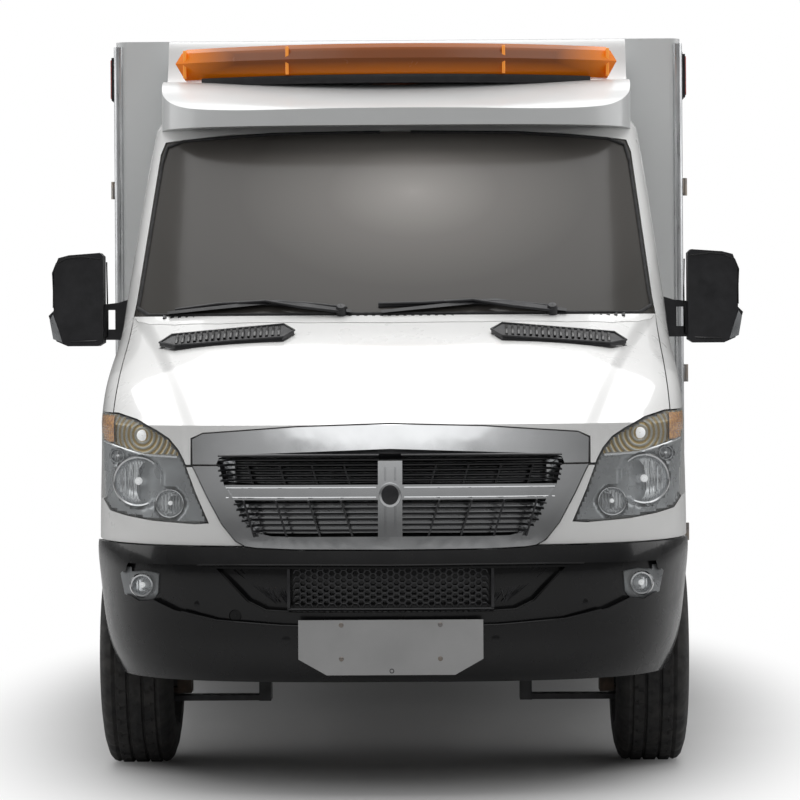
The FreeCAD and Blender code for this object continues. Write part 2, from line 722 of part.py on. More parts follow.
def make_hood():
    panel = lower_cab(0, 30).common(front_prism(hood_region(), -50, 1400))
    panel = panel.common(top_prism([(x, -50) for x in (-1000, 1000)] + whole_plan(COWL_LINE, 0)))
    lamp = grown(HEADLAMP, size.skin_gap + 1)
    panel = panel.cut([front_prism(lamp, -50, 640), front_prism(flipped(lamp), -50, 640)])
    vent = lower_cab(-20, 22).common(top_prism(HOOD_VENT))
    panel = max(panel.cut([vent, mirror_x(vent)]).Solids, key=lambda s: s.Volume)
    node("hood", solid(panel, "hood_panel"))
    bar = lower_cab(-12, 34).common(front_prism(whole(TOP_BAR), -50, 500))
    node("hood_bar", solid(bar, "bar"))


def make_fenders():
    outer = lower_cab(0, 20)
    region = side_prism([(-50, 800), (-50, 1540), (1236, 1540), (1236, 1490), (1412, 1440), (1412, 440),
                         (1300, 440), (1300, 800)], 380)
    panel = outer.common(region)
    gap = size.skin_gap
    panel = panel.cut(front_prism(grown(HEADLAMP, gap), -50, 640))
    panel = panel.cut(front_prism(grown(whole(GRILLE_OUTER), gap), -50, 640))
    panel = panel.cut(front_prism([(0, 1050), (676, 1050), (676, 1075), (700, 1100),
                                   (size.hood_half_width + gap, 1190), (size.hood_half_width + gap, 1600),
                                   (0, 1600)], -50, 1500))
    arch = Part.makeCylinder(size.steer_arch_radius, 1200,
                             V(100, at_mm(size.front_overhang), size.tyre_diameter / 2), V(1, 0, 0))
    panel = panel.cut(arch)
    biggest = max(panel.Solids, key=lambda s: s.Volume)
    node("front_fenders", solid(both(biggest), "fenders"))


def make_bumper():
    outer = bulk(bumper_levels(), 0, 960)
    inner = stack([bumper_levels()], 60, 990, 30)
    shell = outer.cut(inner)
    arch = Part.makeCylinder(size.steer_arch_radius, 2400,
                             V(-1200, at_mm(size.front_overhang), size.tyre_diameter / 2), V(1, 0, 0))
    shell = shell.cut(arch).cut(Part.makeBox(2400, 600, 600, V(-1200, at_mm(570), 300)))
    opening = [(0, 586), (300, 586), (400, 592), (460, 620), (560, 727), (0, 727)]
    smile = [(0, 540), (350, 545), (560, 560), (700, 590), (800, 632), (870, 700), (860, 735), (500, 742),
             (0, 742)]
    recess = skin([bumper_levels()], -20, 16, 980).common(front_prism(whole(smile), -60, 500))
    shell = shell.cut(recess)
    shell = shell.cut([front_prism(whole(opening), -60, 500),
                       front_prism(grown(whole(GRILLE_OUTER), size.skin_gap), -60, 500)])
    lamp = [(758, 640), (772, 622), (820, 615), (872, 640), (880, 700), (800, 712), (752, 705)]
    for outline in (lamp, flipped(lamp)):
        shell = shell.cut(front_prism(grown(outline, 2), -60, 600))
    mesh = skin([bumper_levels()], 44, 52, 960).common(front_prism(grown(whole(opening), 6), -60, 300))
    shell = shell.fuse(mesh)
    holes = [Part.makeCylinder(20, 300, V(float(TOW_EYE_X), at_mm(-60), float(TOW_EYE_Z)),
                               V(0, 1, 0))] + plate_screws()
    shell = shell.cut(holes)
    node("front_bumper", solid(max(shell.Solids, key=lambda s: s.Volume), "bumper"))
    pods = skin([bumper_levels()], 10, 70, 960).common(front_prism(lamp, -60, 400))
    return both(max(pods.Solids, key=lambda s: s.Volume))


def make_front_lamps(fog_lamps):
    lens = lower_cab(-1, 70).common(front_prism(HEADLAMP, -50, 620))
    side_limit = side_prism([(-50, 800), (-50, 1300), (600, 1300), (600, 1190), (470, 930), (430, 800)],
                            300)
    lens = lens.common(side_limit)
    lamps = both(max(lens.Solids, key=lambda s: s.Volume))
    node("front_lamps", solid(Part.makeCompound(lamps.Solids + fog_lamps.Solids), "lamps"))


def make_grille():
    shell = skin([nose_levels()], -10, 66)
    ring = front_prism(whole(GRILLE_OUTER), -50, 400).cut(front_prism(whole(GRILLE_INNER), -60, 420))
    surround = shell.common(ring)
    backing = skin([nose_levels()], 58, 66).common(front_prism(grown(whole(GRILLE_INNER), 2), -50, 400))
    bars = skin([nose_levels()], -4, 60).common(front_prism([(-545, 946), (-545, 994), (545, 994),
            (545, 946)], -50, 300))
    post = skin([nose_levels()], -8, 60).common(front_prism([(-39, 826), (-39, 1070), (39, 1070),
            (39, 826)], -50, 300))
    node("grille", solid(surround.fuse([backing, bars, post]), "grille_frame"))


def plate_screws():
    """The four screws' holes through the plate holder and the bumper behind it."""
    return [Part.makeCylinder(4, 200, V(x, at_mm(-10), z), V(0, 1, 0)) for x in (-158, 158) for z in (441,
            549)]


def make_number_plate():
    outline = [(0, 389), (205, 389), (295, 440), (295, 565), (0, 565)]
    plate = front_prism(whole(outline), 2, 7)
    feet = [Part.makeBox(30, 40, 30, V(x - 15, at_mm(6), z)) for x in (-90, 60) for z in (470, 510)]
    feet = [foot.cut(bulk(bumper_levels(), -0.5, 960)) for foot in feet]
    node("number_plate", solid(plate.cut(plate_screws()).fuse(feet), "plate"))


def make_doors(wall):
    panel = wall.common(side_prism(grown(door_outline(), -size.door_gap), 700, 1400))
    panel = panel.cut(side_prism(DOOR_WINDOW, 600, 1400))
    glass_edge = side_prism(grown(DOOR_WINDOW, 12), 600, 1400)
    zones = [hood_levels(), glass_levels()]
    slot = skin(zones, 7, 14).common(glass_edge)
    panel = max(panel.cut(slot).Solids, key=lambda s: s.Volume)
    glass = skin(zones, 8, 8 + size.glass_thickness).common(side_prism(grown(DOOR_WINDOW, 10), 600, 1400))
    glass = max(glass.Solids, key=lambda s: s.Volume)
    node("door_left", solid(panel, "door"))
    node("door_right", solid(mirror_x(panel), "door"))
    node("door_glass_left", solid(glass, "door_glass"))
    node("door_glass_right", solid(mirror_x(glass), "door_glass"))


def make_mirrors():
    """A door mirror: a tall head on a two-legged arm from the door's front corner."""
    low, top, inner, outer = 1436, 1772, 1052, 1235
    outline = [(inner, low + 12), (inner + 20, low), (outer - 55, low), (outer - 14, low + 18),
               (1249, low + 110), (outer - 4, low + 128),
               (outer - 2, top - 70), (outer - 22, top - 18), (outer - 60, top - 8), (inner + 12, top),
               (inner, top - 12)]
    head = front_prism(outline, 1495, 1605)
    arm = front_prism([(955, low + 22), (inner + 4, low + 22), (inner + 4, low + 150), (1000, low + 156),
                       (955, low + 170)], 1530, 1575)
    hole = front_prism([(1012, low + 60), (1040, low + 60), (1040, low + 130), (1012, low + 130)], 1400,
                       1600)
    body = head.fuse(arm.cut(hole))
    body = body.cut(nodes["door_left"].Shape)
    body = max(body.Solids, key=lambda s: s.Volume)
    node("mirror_left", solid(body, "mirror"))
    node("mirror_right", solid(mirror_x(body), "mirror"))


def make_wipers():
    """Two wipers parked along the foot of the windscreen, each a blade on an arm."""
    pieces = []
    for start, end, pivot in ((-790, -145, -330), (-40, 600, 390)):
        blade = skin([glass_levels()], -20, -5).common(front_prism([(start, 1548), (start, 1558),
                (start + 380, 1596), (start + 400, 1596), (end, 1560), (end, 1550), (start + 390, 1584)],
                700, 1600))
        pieces.append(max(blade.Solids, key=lambda s: s.Volume))
    node("wipers", solid(Part.makeCompound(pieces), "wiper_pair"))


def make_dashboard():
    shelf = block(("-845", "845"), (at("1215"), at("1560")), ("1220", "1380"), "dash_shelf")
    console = block(("-150", "150"), (at("1290"), at("1600")), ("900", "1221"), "console")
    column = rod("26", (at("1555"), at("1640")), "420", "0", "1245", "Y", "column")
    node("dashboard", fuse([shelf, console, column], "dash"))
    ring = doc.addObject("Part::Torus", "wheel_rim")
    ring.Radius1, ring.Radius2 = 190, 15
    ring.Placement = FreeCAD.Placement(V(420, at_mm(1705), 1245), FreeCAD.Rotation(V(1, 0, 0), 62))
    spoke = solid(Part.makeBox(366, 50, 14, V(-183, -25, -7)), "spoke")
    spoke.Placement = ring.Placement
    boss = solid(Part.makeCylinder(46, 60, V(0, 0, -22)), "boss")
    boss.Placement = ring.Placement
    node("steering_wheel", fuse([ring, spoke, boss], "hand_wheel"))


def make_cab_seats():
    seats = []
    for x in (-420, 420):
        cushion = Part.makeBox(500, 500, 130, V(x - 250, at_mm(1830), 1080))
        base = Part.makeBox(400, 400, 301, V(x - 200, at_mm(1880), size.cab_floor_top))
        back = Part.makeBox(480, 120, 620, V(x - 240, at_mm(2280), 1150))
        rest = Part.makeBox(260, 90, 170, V(x - 130, at_mm(2300), 1790))
        stalks = [Part.makeCylinder(8, 60, V(x + dx, at_mm(2345), 1750)) for dx in (-60, 60)]
        seats.append(base.fuse([cushion, back, rest] + stalks))
    node("cab_seats", solid(Part.makeCompound(seats), "seats"))


# ---------------------------------------------------------------- roof cap and light bar
def cap_surface():
    """The top of the roof cap: a visor lip, a scooped shelf for the light bar, a raised back."""
    rows = []
    half = size.cap_half_width
    for share in (-1.15, -1, -0.85, -0.6, -0.3, 0, 0.3, 0.6, 0.85, 1, 1.15):
        bow = min(1.0, abs(share)) ** 2.6
        row = []
        for depth, height in ((1480, 2268), (1590, 2290), (1760, 2352), (1900, 2402), (2060, 2414),
                              (2200, 2440), (2300, 2560), (2400, size.cap_top - 2), (2560, size.cap_top)):
            lift = 42 * bow * max(0.0, 1 - (depth - 1480) / 700)
            row.append(V(share * half, at_mm(depth + 250 * bow * max(0.0, 1 - (depth - 1480) / 900)),
                         height + lift))
        rows.append(row)
    surface = Part.BSplineSurface()
    surface.interpolate(rows)
    return surface.toShape()


def make_roof_cap():
    levels = [(2232, 1600, 2050, size.cap_half_width, 3.2), (2700, 1600, 2050, size.cap_half_width, 3.2)]
    body = bulk(levels, 0, size.box_front - 2)
    body = body.cut(cap_surface().extrude(V(0, 0, 700)))
    roof = stack([glass_levels(), roof_levels()])
    grown_roof = roof.translated(V(0, 0, 3))
    body = body.cut([roof, grown_roof])
    body = body.cut(bulk([(2000, 1700, 2100, size.cap_half_width - 40, 3.2),
                          (2330, 1700, 2100, size.cap_half_width - 40, 3.2)], 0, size.box_front - 60))
    node("roof_cap", solid(max(body.Solids, key=lambda s: s.Volume), "cap"))


def make_lightbar():
    """A swept-back amber bar: three six-sided sections, widest at mid height."""
    low, tall, half = size.lightbar_bottom, size.lightbar_height, size.lightbar_length / 2

    def outline(height, trim):
        reach = half - trim
        nose = Part.Arc(V(-reach, at_mm(2035 + trim), height), V(0, at_mm(1782 + trim), height),
                        V(reach, at_mm(2035 + trim), height))
        tail = Part.Arc(V(reach, at_mm(2150), height), V(0, at_mm(2075), height),
                        V(-reach, at_mm(2150), height))
        sides = [
            Part.makeLine(V(reach, at_mm(2035 + trim), height), V(reach, at_mm(2150), height)),
            Part.makeLine(V(-reach, at_mm(2150), height), V(-reach, at_mm(2035 + trim), height)),
        ]
        return Part.Wire([nose.toShape(), sides[0], tail.toShape(), sides[1]])

    bar = Part.makeLoft([outline(low, 34), outline(low + 0.52 * tall, 0), outline(low + 0.86 * tall, 22),
                         outline(low + tall, 40)], True, True)
    node("lightbar", solid(bar, "bar"))


# ---------------------------------------------------------------- patient box
def envelope(z_low, z_high, name):
    """The box's outside as a block with rounded upright corners."""
    outside = block((f"-{BOX_SIDE}", BOX_SIDE), (at("box_front"), at(BOX_REAR)), (z_low, z_high),
                    name + "_block")
    doc.recompute()
    rounded = doc.addObject("Part::Fillet", name)
    rounded.Base = outside
    rounded.Edges = [(i, size.box_corner, size.box_corner) for i in (1, 3, 5, 7)]
    return rounded


SIDE_DOOR_FRONT = "box_front + 170"
WINDOW_Z = ("1500", "2080")


def make_box():
    wall_z = ("box_bottom", "box_top - box_wall")
    inner_x = f"{BOX_SIDE} - box_wall"
    arch = rod("rear_arch_radius", ("-1300", "1300"), "0", at(REAR_AXLE), WHEEL_Z, "X", "rear_arch")
    for side, sign in (("left", 1), ("right", -1)):
        slab = block(
            (inner_x, f"{BOX_SIDE} + 1") if sign > 0 else (f"-{BOX_SIDE} - 1", f"-({inner_x})"),
            (at("box_front - 1"), at(f"{BOX_REAR} + 1")), wall_z, "side_slab",
        )
        wall = common(envelope(*wall_z, "envelope_" + side), slab, "side_" + side)
        span = ("500", "1300") if sign > 0 else ("-1300", "-500")
        if side == "left":
            doorway = block(span, (at(SIDE_DOOR_FRONT), at(f"{SIDE_DOOR_FRONT} + locker_width")),
                            ("box_bottom + 90", "2300"), "locker_opening")
        else:
            doorway = block(span, (at(SIDE_DOOR_FRONT), at(f"{SIDE_DOOR_FRONT} + side_door_width")),
                            ("box_bottom + 90", "2380"), "side_opening")
        window = block(span, (at("4150"), at("5050")), WINDOW_Z, "window_opening")
        node("box_side_" + side, cut(wall, [doorway, window, arch], "box_wall_" + side))
    front = block((f"-({inner_x})", inner_x), (at("box_front"), at("box_front + box_wall")),
                  ("rail_top + 4", "box_top - box_wall"), "front_wall")
    node("box_front_wall", front)
    roof = envelope("box_top - box_wall", "box_top", "roof_slab")
    node("box_roof", roof)
    rear_slab = block((f"-({inner_x})", inner_x), (at(f"{BOX_REAR} - box_wall"), at(BOX_REAR)),
                      ("box_bottom + 130", "box_top - box_wall"), "rear_slab")
    rear_hole = block(("-rear_opening_width / 2", "rear_opening_width / 2"),
                      (at(f"{BOX_REAR} - 80"), at(f"{BOX_REAR} + 10")),
                      ("box_floor_top - 20", "rear_opening_top"), "rear_opening")
    rail_gap = block(("-rail_outer_x - 4", "rail_outer_x + 4"),
                     (at(f"{BOX_REAR} - 80"), at(f"{BOX_REAR} + 10")),
                     ("box_bottom + 100", "box_floor_top - 21"), "rail_gap")
    node("box_rear_wall", cut(rear_slab, [rear_hole, rail_gap], "rear_wall"))


def make_box_floor():
    inner_x = f"{BOX_SIDE} - box_wall"
    y0, y1 = at("box_front + box_wall"), at(f"{BOX_REAR} - box_wall")
    slab = block((f"-({inner_x})", inner_x), (y0, y1), ("box_floor_top - 50", "box_floor_top"),
                 "floor_slab")
    wheel_y = (at(f"{REAR_AXLE} - rear_arch_radius"), at(f"{REAR_AXLE} + rear_arch_radius"))
    holes = blocks(("505", inner_x), wheel_y, ("box_floor_top - 60", "box_floor_top + 10"), "wheel_hole")
    holes.append(block((f"-({inner_x})", "-795"),
                       (at(f"{SIDE_DOOR_FRONT} + 8"), at(f"{SIDE_DOOR_FRONT} + side_door_width - 8")),
                       ("box_floor_top - 60", "box_floor_top + 10"), "step_hole"))
    floor = cut(slab, holes, "floor_with_holes")
    pieces = [floor]
    for x in (("495", inner_x), (f"-({inner_x})", "-495")):
        house = block(x, (f"{wheel_y[0]} - 10", f"{wheel_y[1]} + 10"), ("box_floor_top - 50", "885"),
                      "wheel_house")
        room_x = ("505", f"{BOX_SIDE} - 40") if x[0] == "495" else (f"-{BOX_SIDE} + 40", "-505")
        room = block(room_x, wheel_y, ("box_floor_top - 60", "873"), "wheel_room")
        pieces.append(cut(house, [room], "wheel_house_shell"))
    step_y = (at(f"{SIDE_DOOR_FRONT} + 8"), at(f"{SIDE_DOOR_FRONT} + side_door_width - 8"))
    well = block((f"-({inner_x})", "-785"), (f"{step_y[0]} - 10", f"{step_y[1]} + 10"),
                 ("box_bottom + 80", "box_floor_top - 45"), "step_well")
    well_room = block((f"-({inner_x}) - 10", "-795"), step_y, ("box_bottom + 100", "box_floor_top + 20"),
                      "step_room")
    pieces.append(cut(well, [well_room], "step_well_shell"))
    mount_y = (at("box_front + 1150"), at("box_front + 3150"))
    pieces.append(block(("-250", "250"), mount_y, ("box_floor_top - 1", "box_floor_top + 4"), "cot_plate"))
    node("box_floor", fuse(pieces, "box_floor_pan"))


def hinge_pairs(x, y, heights, flap, name):
    """Hinge barrels on an upright axis, each with a leaf over the door it carries."""
    pieces = []
    for z in heights:
        pieces.append(rod("hinge_radius", (f"{z}", f"{z} + 64"), x, y, "0", "Z", name + "_barrel"))
        pieces.append(flap(z))
    return pieces


def make_box_doors():
    gap, wall = "door_gap", "box_wall"
    out = f"({BOX_SIDE} + hinge_radius + 1)"
    doors = (
        ("locker_door", 1, "locker_width", "2300", False),
        ("side_door", -1, "side_door_width", "2380", True),
    )
    for name, sign, width, top, glazed in doors:
        x = (f"{BOX_SIDE} - {wall}", BOX_SIDE) if sign > 0 else (f"-{BOX_SIDE}", f"-{BOX_SIDE} + {wall}")
        y = (at(f"{SIDE_DOOR_FRONT} + {gap}"), at(f"{SIDE_DOOR_FRONT} + {width} - {gap}"))
        leaf = block(x, y, (f"box_bottom + 90 + {gap}", f"{top} - {gap}"), name + "_leaf")
        if glazed:
            pane_y = (at(f"{SIDE_DOOR_FRONT} + 190"), at(f"{SIDE_DOOR_FRONT} + {width} - 190"))
            hole = block((f"{x[0]} - 5", f"{x[1]} + 5"), pane_y, WINDOW_Z, name + "_window")
            leaf = cut(leaf, [hole], name + "_cut")
            pane = block((f"{x[0]} + 8", f"{x[0]} + 8 + glass_thickness"),
                         (f"{pane_y[0]} + 1", f"{pane_y[1]} - 1"),
                         (f"{WINDOW_Z[0]} + 1", f"{WINDOW_Z[1]} - 1"), name + "_pane")
            node(name + "_glass", pane)
        plate_x = (f"{BOX_SIDE} - 0.5", f"{out} + 3") if sign > 0 else (f"-{out} - 3", f"-{BOX_SIDE} + 0.5")
        pin_x = out if sign > 0 else f"-{out}"

        def flap(z, plate_x=plate_x, y=y):
            return block(plate_x, (f"{y[0]} + 2", f"{y[0]} + 70"), (z, f"{z} + 64"), "hinge_leaf")

        hinges = hinge_pairs(pin_x, f"{y[0]} - 2", ("660", "1280", "2008"), flap, name)
        node(name, fuse([leaf] + hinges, name + "_assembly"))
    for name, sign in (("rear_door_left", 1), ("rear_door_right", -1)):
        half = "rear_opening_width / 2"
        x = (f"{gap} / 2", f"{half} - {gap}") if sign > 0 else (f"-{half} + {gap}", f"-{gap} / 2")
        y = (at(f"{BOX_REAR} - {wall}"), at(BOX_REAR))
        z = (f"box_floor_top - 20 + {gap}", f"rear_opening_top - {gap}")
        leaf = block(x, y, z, name + "_leaf")
        pane_x = (f"{x[0]} + 130", f"{x[1]} - 130")
        hole = block(pane_x, (f"{y[0]} - 5", f"{y[1]} + 5"), WINDOW_Z, name + "_window")
        leaf = cut(leaf, [hole], name + "_cut")
        pane = block((f"{pane_x[0]} + 1", f"{pane_x[1]} - 1"),
                     (f"{y[1]} - 8 - glass_thickness", f"{y[1]} - 8"),
                     (f"{WINDOW_Z[0]} + 1", f"{WINDOW_Z[1]} - 1"), name + "_pane")
        node(name.replace("door", "glass"), pane)
        edge = x[1] if sign > 0 else x[0]
        flap_x = (f"{edge} - 70", f"{edge} - 2") if sign > 0 else (f"{edge} + 2", f"{edge} + 70")
        pin_x = f"{edge} + 2" if sign > 0 else f"{edge} - 2"
        pin_y = f"{y[1]} + hinge_radius + 1"

        def rear_flap(z_low, flap_x=flap_x, y=y):
            return block(flap_x, (f"{y[1]} - 0.5", f"{y[1]} + hinge_radius + 4"), (z_low, f"{z_low} + 64"),
                         "hinge_leaf")

        hinges = hinge_pairs(pin_x, pin_y, ("900", "1400", "2140"), rear_flap, name)
        node(name, fuse([leaf] + hinges, name + "_assembly"))


def make_box_windows():
    panes = []
    for x in ((f"{BOX_SIDE} - 13", f"{BOX_SIDE} - 13 + glass_thickness"),
              (f"-{BOX_SIDE} + 8", f"-{BOX_SIDE} + 8 + glass_thickness")):
        panes.append(block(x, (at("4151"), at("5049")), (f"{WINDOW_Z[0]} + 1", f"{WINDOW_Z[1]} - 1"),
                           "side_pane"))
    both_panes = doc.addObject("Part::Compound", "panes")
    both_panes.Links = panes
    node("box_windows", both_panes)


def make_box_fittings():
    inner_x = f"{BOX_SIDE} - box_wall"
    locker_back, locker_y = "480", (at(f"{SIDE_DOOR_FRONT} - 20"),
                                    at(f"{SIDE_DOOR_FRONT} + locker_width + 20"))
    room = block((f"{locker_back} + 15", f"{inner_x} + 5"), (f"{locker_y[0]} + 18", f"{locker_y[1]} - 18"),
                 ("box_floor_top + 2", "2330"), "locker_room")
    case = block((locker_back, f"{inner_x} - 1"), locker_y, ("box_floor_top + 1", "2350"), "locker_case")
    locker = cut(case, [room], "locker_liner")
    base = block(("680", f"{inner_x} - 1"), (f"{locker_y[1]} - 1", at(f"{BOX_REAR} - box_wall - 2")),
                 ("886", "1420"), "base_unit")
    over = block(("780", f"{inner_x} - 1"), (f"{locker_y[1]} - 1", at(f"{BOX_REAR} - box_wall - 2")),
                 ("2150", "2520"), "overhead_unit")
    node("cabinets", fuse([locker, base, over], "cabinet_wall"))
    seat = block((f"-({inner_x}) + 1", "-560"), (at("3900"), at("5700")), ("886", "1180"), "bench_box")
    backrest = block((f"-({inner_x}) + 1", f"-({inner_x}) + 70"), (at("3900"), at("5700")),
                     ("1179", "1460"), "bench_back")
    node("bench_seat", fuse([seat, backrest], "bench"))


def make_rear_step():
    tread = block((f"-{BOX_SIDE} + 40", f"{BOX_SIDE} - 40"), (at(f"{BOX_REAR} + 12"), at("overall_length")),
                  ("440", "520"), "tread")
    arms = blocks(("rail_outer_x - 50", "rail_outer_x - 10"),
                  (at(f"{BOX_REAR} - 20"), at(f"{BOX_REAR} + 13")), ("440", "rail_bottom + 40"), "step_arm")
    node("rear_step", fuse([tread] + arms, "step"))


def make_box_lamps():
    lamps = []
    for depth in ("box_front + 90", f"{BOX_REAR} - 290"):
        lamps += blocks((f"{BOX_SIDE} + 0.3", f"{BOX_SIDE} + 24"), (at(depth), at(f"{depth} + 200")),
                        ("2388", "2556"), "side_lamp")
    lamps += blocks(("rear_opening_width / 2 + 70", "rear_opening_width / 2 + 330"),
                    (at(f"{BOX_REAR} + 0.3"), at(f"{BOX_REAR} + 24")), ("2350", "2520"),
                    "rear_warning_lamp")
    lamps += blocks(("rear_opening_width / 2 + 110", "rear_opening_width / 2 + 310"),
                    (at(f"{BOX_REAR} + 0.3"), at(f"{BOX_REAR} + 24")), ("820", "1180"), "tail_lamp")
    group = doc.addObject("Part::Compound", "lamp_group")
    group.Links = lamps
    node("box_lamps", group)


make_chassis_frame()
make_powertrain()
make_prop_shaft()
make_exhaust()
make_fuel_tank()
make_front_suspension()
make_rear_axle()
make_leaf_springs()
make_wheels()
make_knuckles()
make_cab_floor()
cab = cab_wall()
make_cab_shell(cab)
make_windscreen()
make_hood()
make_fenders()
make_front_lamps(make_bumper())
make_grille()
make_number_plate()
make_doors(cab)
make_mirrors()
make_wipers()
make_dashboard()
make_cab_seats()
make_roof_cap()
make_lightbar()
make_box()
make_box_floor()
make_box_doors()
make_box_windows()
make_box_fittings()
make_rear_step()
make_box_lamps()
doc.recompute()

# ---------------------------------------------------------------- checks and files
for thing in doc.Objects:
    bad = [state for state in thing.State if state in ("Invalid", "Error")]
    if bad:
        raise SystemExit(f"{thing.Label} is {bad}")
for name, thing in nodes.items():
    shape = thing.Shape
    if shape.isNull() or not shape.isValid() or not shape.Solids:
        raise SystemExit(f"{name} has no valid solid")

os.makedirs("parts", exist_ok=True)
for name, thing in nodes.items():
    thing.Shape.exportStep(f"parts/{name}.step")
    print(name, len(thing.Shape.Solids), round(thing.Shape.Volume / 1e6, 3))
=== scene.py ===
"""Looks of the box-bodied ambulance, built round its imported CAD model. Metres, the row's own frame."""
import json
import math

import bmesh
import bpy
import numpy as np
from mathutils import Matrix, Vector
from mathutils.bvhtree import BVHTree


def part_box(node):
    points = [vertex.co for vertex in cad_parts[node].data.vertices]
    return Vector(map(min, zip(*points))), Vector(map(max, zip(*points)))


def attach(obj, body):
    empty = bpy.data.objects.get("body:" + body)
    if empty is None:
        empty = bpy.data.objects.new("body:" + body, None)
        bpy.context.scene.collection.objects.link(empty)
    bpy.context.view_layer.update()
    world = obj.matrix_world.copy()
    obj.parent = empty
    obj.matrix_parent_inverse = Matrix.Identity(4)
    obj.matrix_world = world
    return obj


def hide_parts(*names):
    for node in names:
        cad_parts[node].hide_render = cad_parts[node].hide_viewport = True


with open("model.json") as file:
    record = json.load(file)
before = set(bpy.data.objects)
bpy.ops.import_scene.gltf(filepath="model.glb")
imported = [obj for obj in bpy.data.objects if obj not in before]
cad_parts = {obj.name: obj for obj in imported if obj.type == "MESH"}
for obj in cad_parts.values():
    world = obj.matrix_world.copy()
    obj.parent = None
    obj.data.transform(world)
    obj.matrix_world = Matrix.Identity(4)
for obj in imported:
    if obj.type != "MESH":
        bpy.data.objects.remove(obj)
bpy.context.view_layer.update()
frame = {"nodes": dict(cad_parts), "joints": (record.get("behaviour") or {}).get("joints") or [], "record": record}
NODES = frame["nodes"]
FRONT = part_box("number_plate")[0].y - 0.002
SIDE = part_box("box_side_left")[1].x
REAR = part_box("box_rear_wall")[1].y
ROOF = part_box("box_roof")[1].z
SIDES = (("left", 1), ("right", -1))
HINGE_HEIGHTS = (0.660, 1.280, 2.008)
CAMERA_BACK = 11.65
CAMERA_SPOT = (0.186, FRONT - CAMERA_BACK, 1.50)
CAMERA_LENS = 164.5
CAMERA_YAW, CAMERA_ROLL = 0.74, 0.35
FRAMING_SHIFT = -0.0918
FLOOR_SPAN = 60


def at(depth):
    """The Y of a distance behind the front of the vehicle."""
    return FRONT + depth


# ---------------------------------------------------------------- node materials
MATERIALS = {}


class Look:
    """One node material: a Principled shader with procedural colour, roughness and bump."""

    def __init__(self, name, colour, rough=0.5, metal=0.0, **sockets):
        self.material = bpy.data.materials.new(name)
        self.material.use_nodes = True
        self.tree = self.material.node_tree
        self.shader = self.tree.nodes["Principled BSDF"]
        self.shader.inputs["Base Color"].default_value = (*colour, 1)
        self.shader.inputs["Roughness"].default_value = rough
        self.shader.inputs["Metallic"].default_value = metal
        for key, value in sockets.items():
            self.shader.inputs[key.replace("_", " ")].default_value = value
        self.colour, self.rough = colour, rough
        self.place = self.add("ShaderNodeTexCoord").outputs["Object"]
        self.heights = []
        MATERIALS[name] = self.material

    def add(self, kind, **values):
        made = self.tree.nodes.new(kind)
        for key, value in values.items():
            if key in made.inputs:
                made.inputs[key].default_value = value
            else:
                setattr(made, key, value)
        return made

    def link(self, source, target):
        self.tree.links.new(source, target)
        return self

    def scaled(self, scale):
        """Object coordinates stretched along each axis."""
        mapping = self.add("ShaderNodeMapping")
        mapping.inputs["Scale"].default_value = scale
        self.link(self.place, mapping.inputs["Vector"])
        return mapping.outputs["Vector"]

    def noise(self, scale, detail=4.0, stretch=(1, 1, 1)):
        made = self.add("ShaderNodeTexNoise", Scale=scale, Detail=detail)
        self.link(self.scaled(stretch), made.inputs["Vector"])
        return made.outputs["Fac"]

    def cells(self, scale, feature="F1", stretch=(1, 1, 1)):
        made = self.add("ShaderNodeTexVoronoi", Scale=scale, feature=feature)
        self.link(self.scaled(stretch), made.inputs["Vector"])
        return made.outputs["Distance"]

    def waves(self, scale, direction="X", distortion=0.0, stretch=(1, 1, 1), profile="SIN"):
        made = self.add("ShaderNodeTexWave", Scale=scale, Distortion=distortion, wave_profile=profile)
        made.bands_direction = direction
        self.link(self.scaled(stretch), made.inputs["Vector"])
        return made.outputs["Fac"]

    def spread(self, source, low, high, start=0.3, end=0.7):
        made = self.add("ShaderNodeMapRange")
        for key, value in (("From Min", start), ("From Max", end), ("To Min", low), ("To Max", high)):
            made.inputs[key].default_value = value
        self.link(source, made.inputs["Value"])
        return made.outputs["Result"]

    def mottle(self, source, amount=0.06, other=None, start=0.3, end=0.7):
        """Colour that varies between two tones of the base with a pattern."""
        ramp = self.add("ShaderNodeValToRGB")
        first, last = ramp.color_ramp.elements
        first.position, last.position = start, end
        dark = [c * (1 - amount) for c in self.colour]
        light = other or [min(1.0, c * (1 + amount)) for c in self.colour]
        first.color, last.color = (*dark, 1), (*light, 1)
        self.link(source, ramp.inputs["Fac"])
        self.link(ramp.outputs["Color"], self.shader.inputs["Base Color"])
        return self

    def uneven(self, source, amount=0.08):
        self.link(self.spread(source, max(0.02, self.rough - amount), min(1.0, self.rough + amount)),
                  self.shader.inputs["Roughness"])
        return self

    def bump(self, source, strength=0.3, depth=0.001):
        made = self.add("ShaderNodeBump", Strength=strength, Distance=depth)
        self.link(source, made.inputs["Height"])
        if self.heights:
            self.link(self.heights[-1], made.inputs["Normal"])
        self.heights.append(made.outputs["Normal"])
        self.link(made.outputs["Normal"], self.shader.inputs["Normal"])
        return self

    def see_through(self, share, tint=(1, 1, 1)):
        """Lets some straight light through, with no bending, for thin lenses and panes."""
        clear = self.add("ShaderNodeBsdfTransparent", Color=(*tint, 1))
        mix = self.add("ShaderNodeMixShader", Fac=1 - share)
        output = self.tree.nodes["Material Output"]
        self.link(clear.outputs["BSDF"], mix.inputs[1])
        self.link(self.shader.outputs["BSDF"], mix.inputs[2])
        self.link(mix.outputs["Shader"], output.inputs["Surface"])
        return self


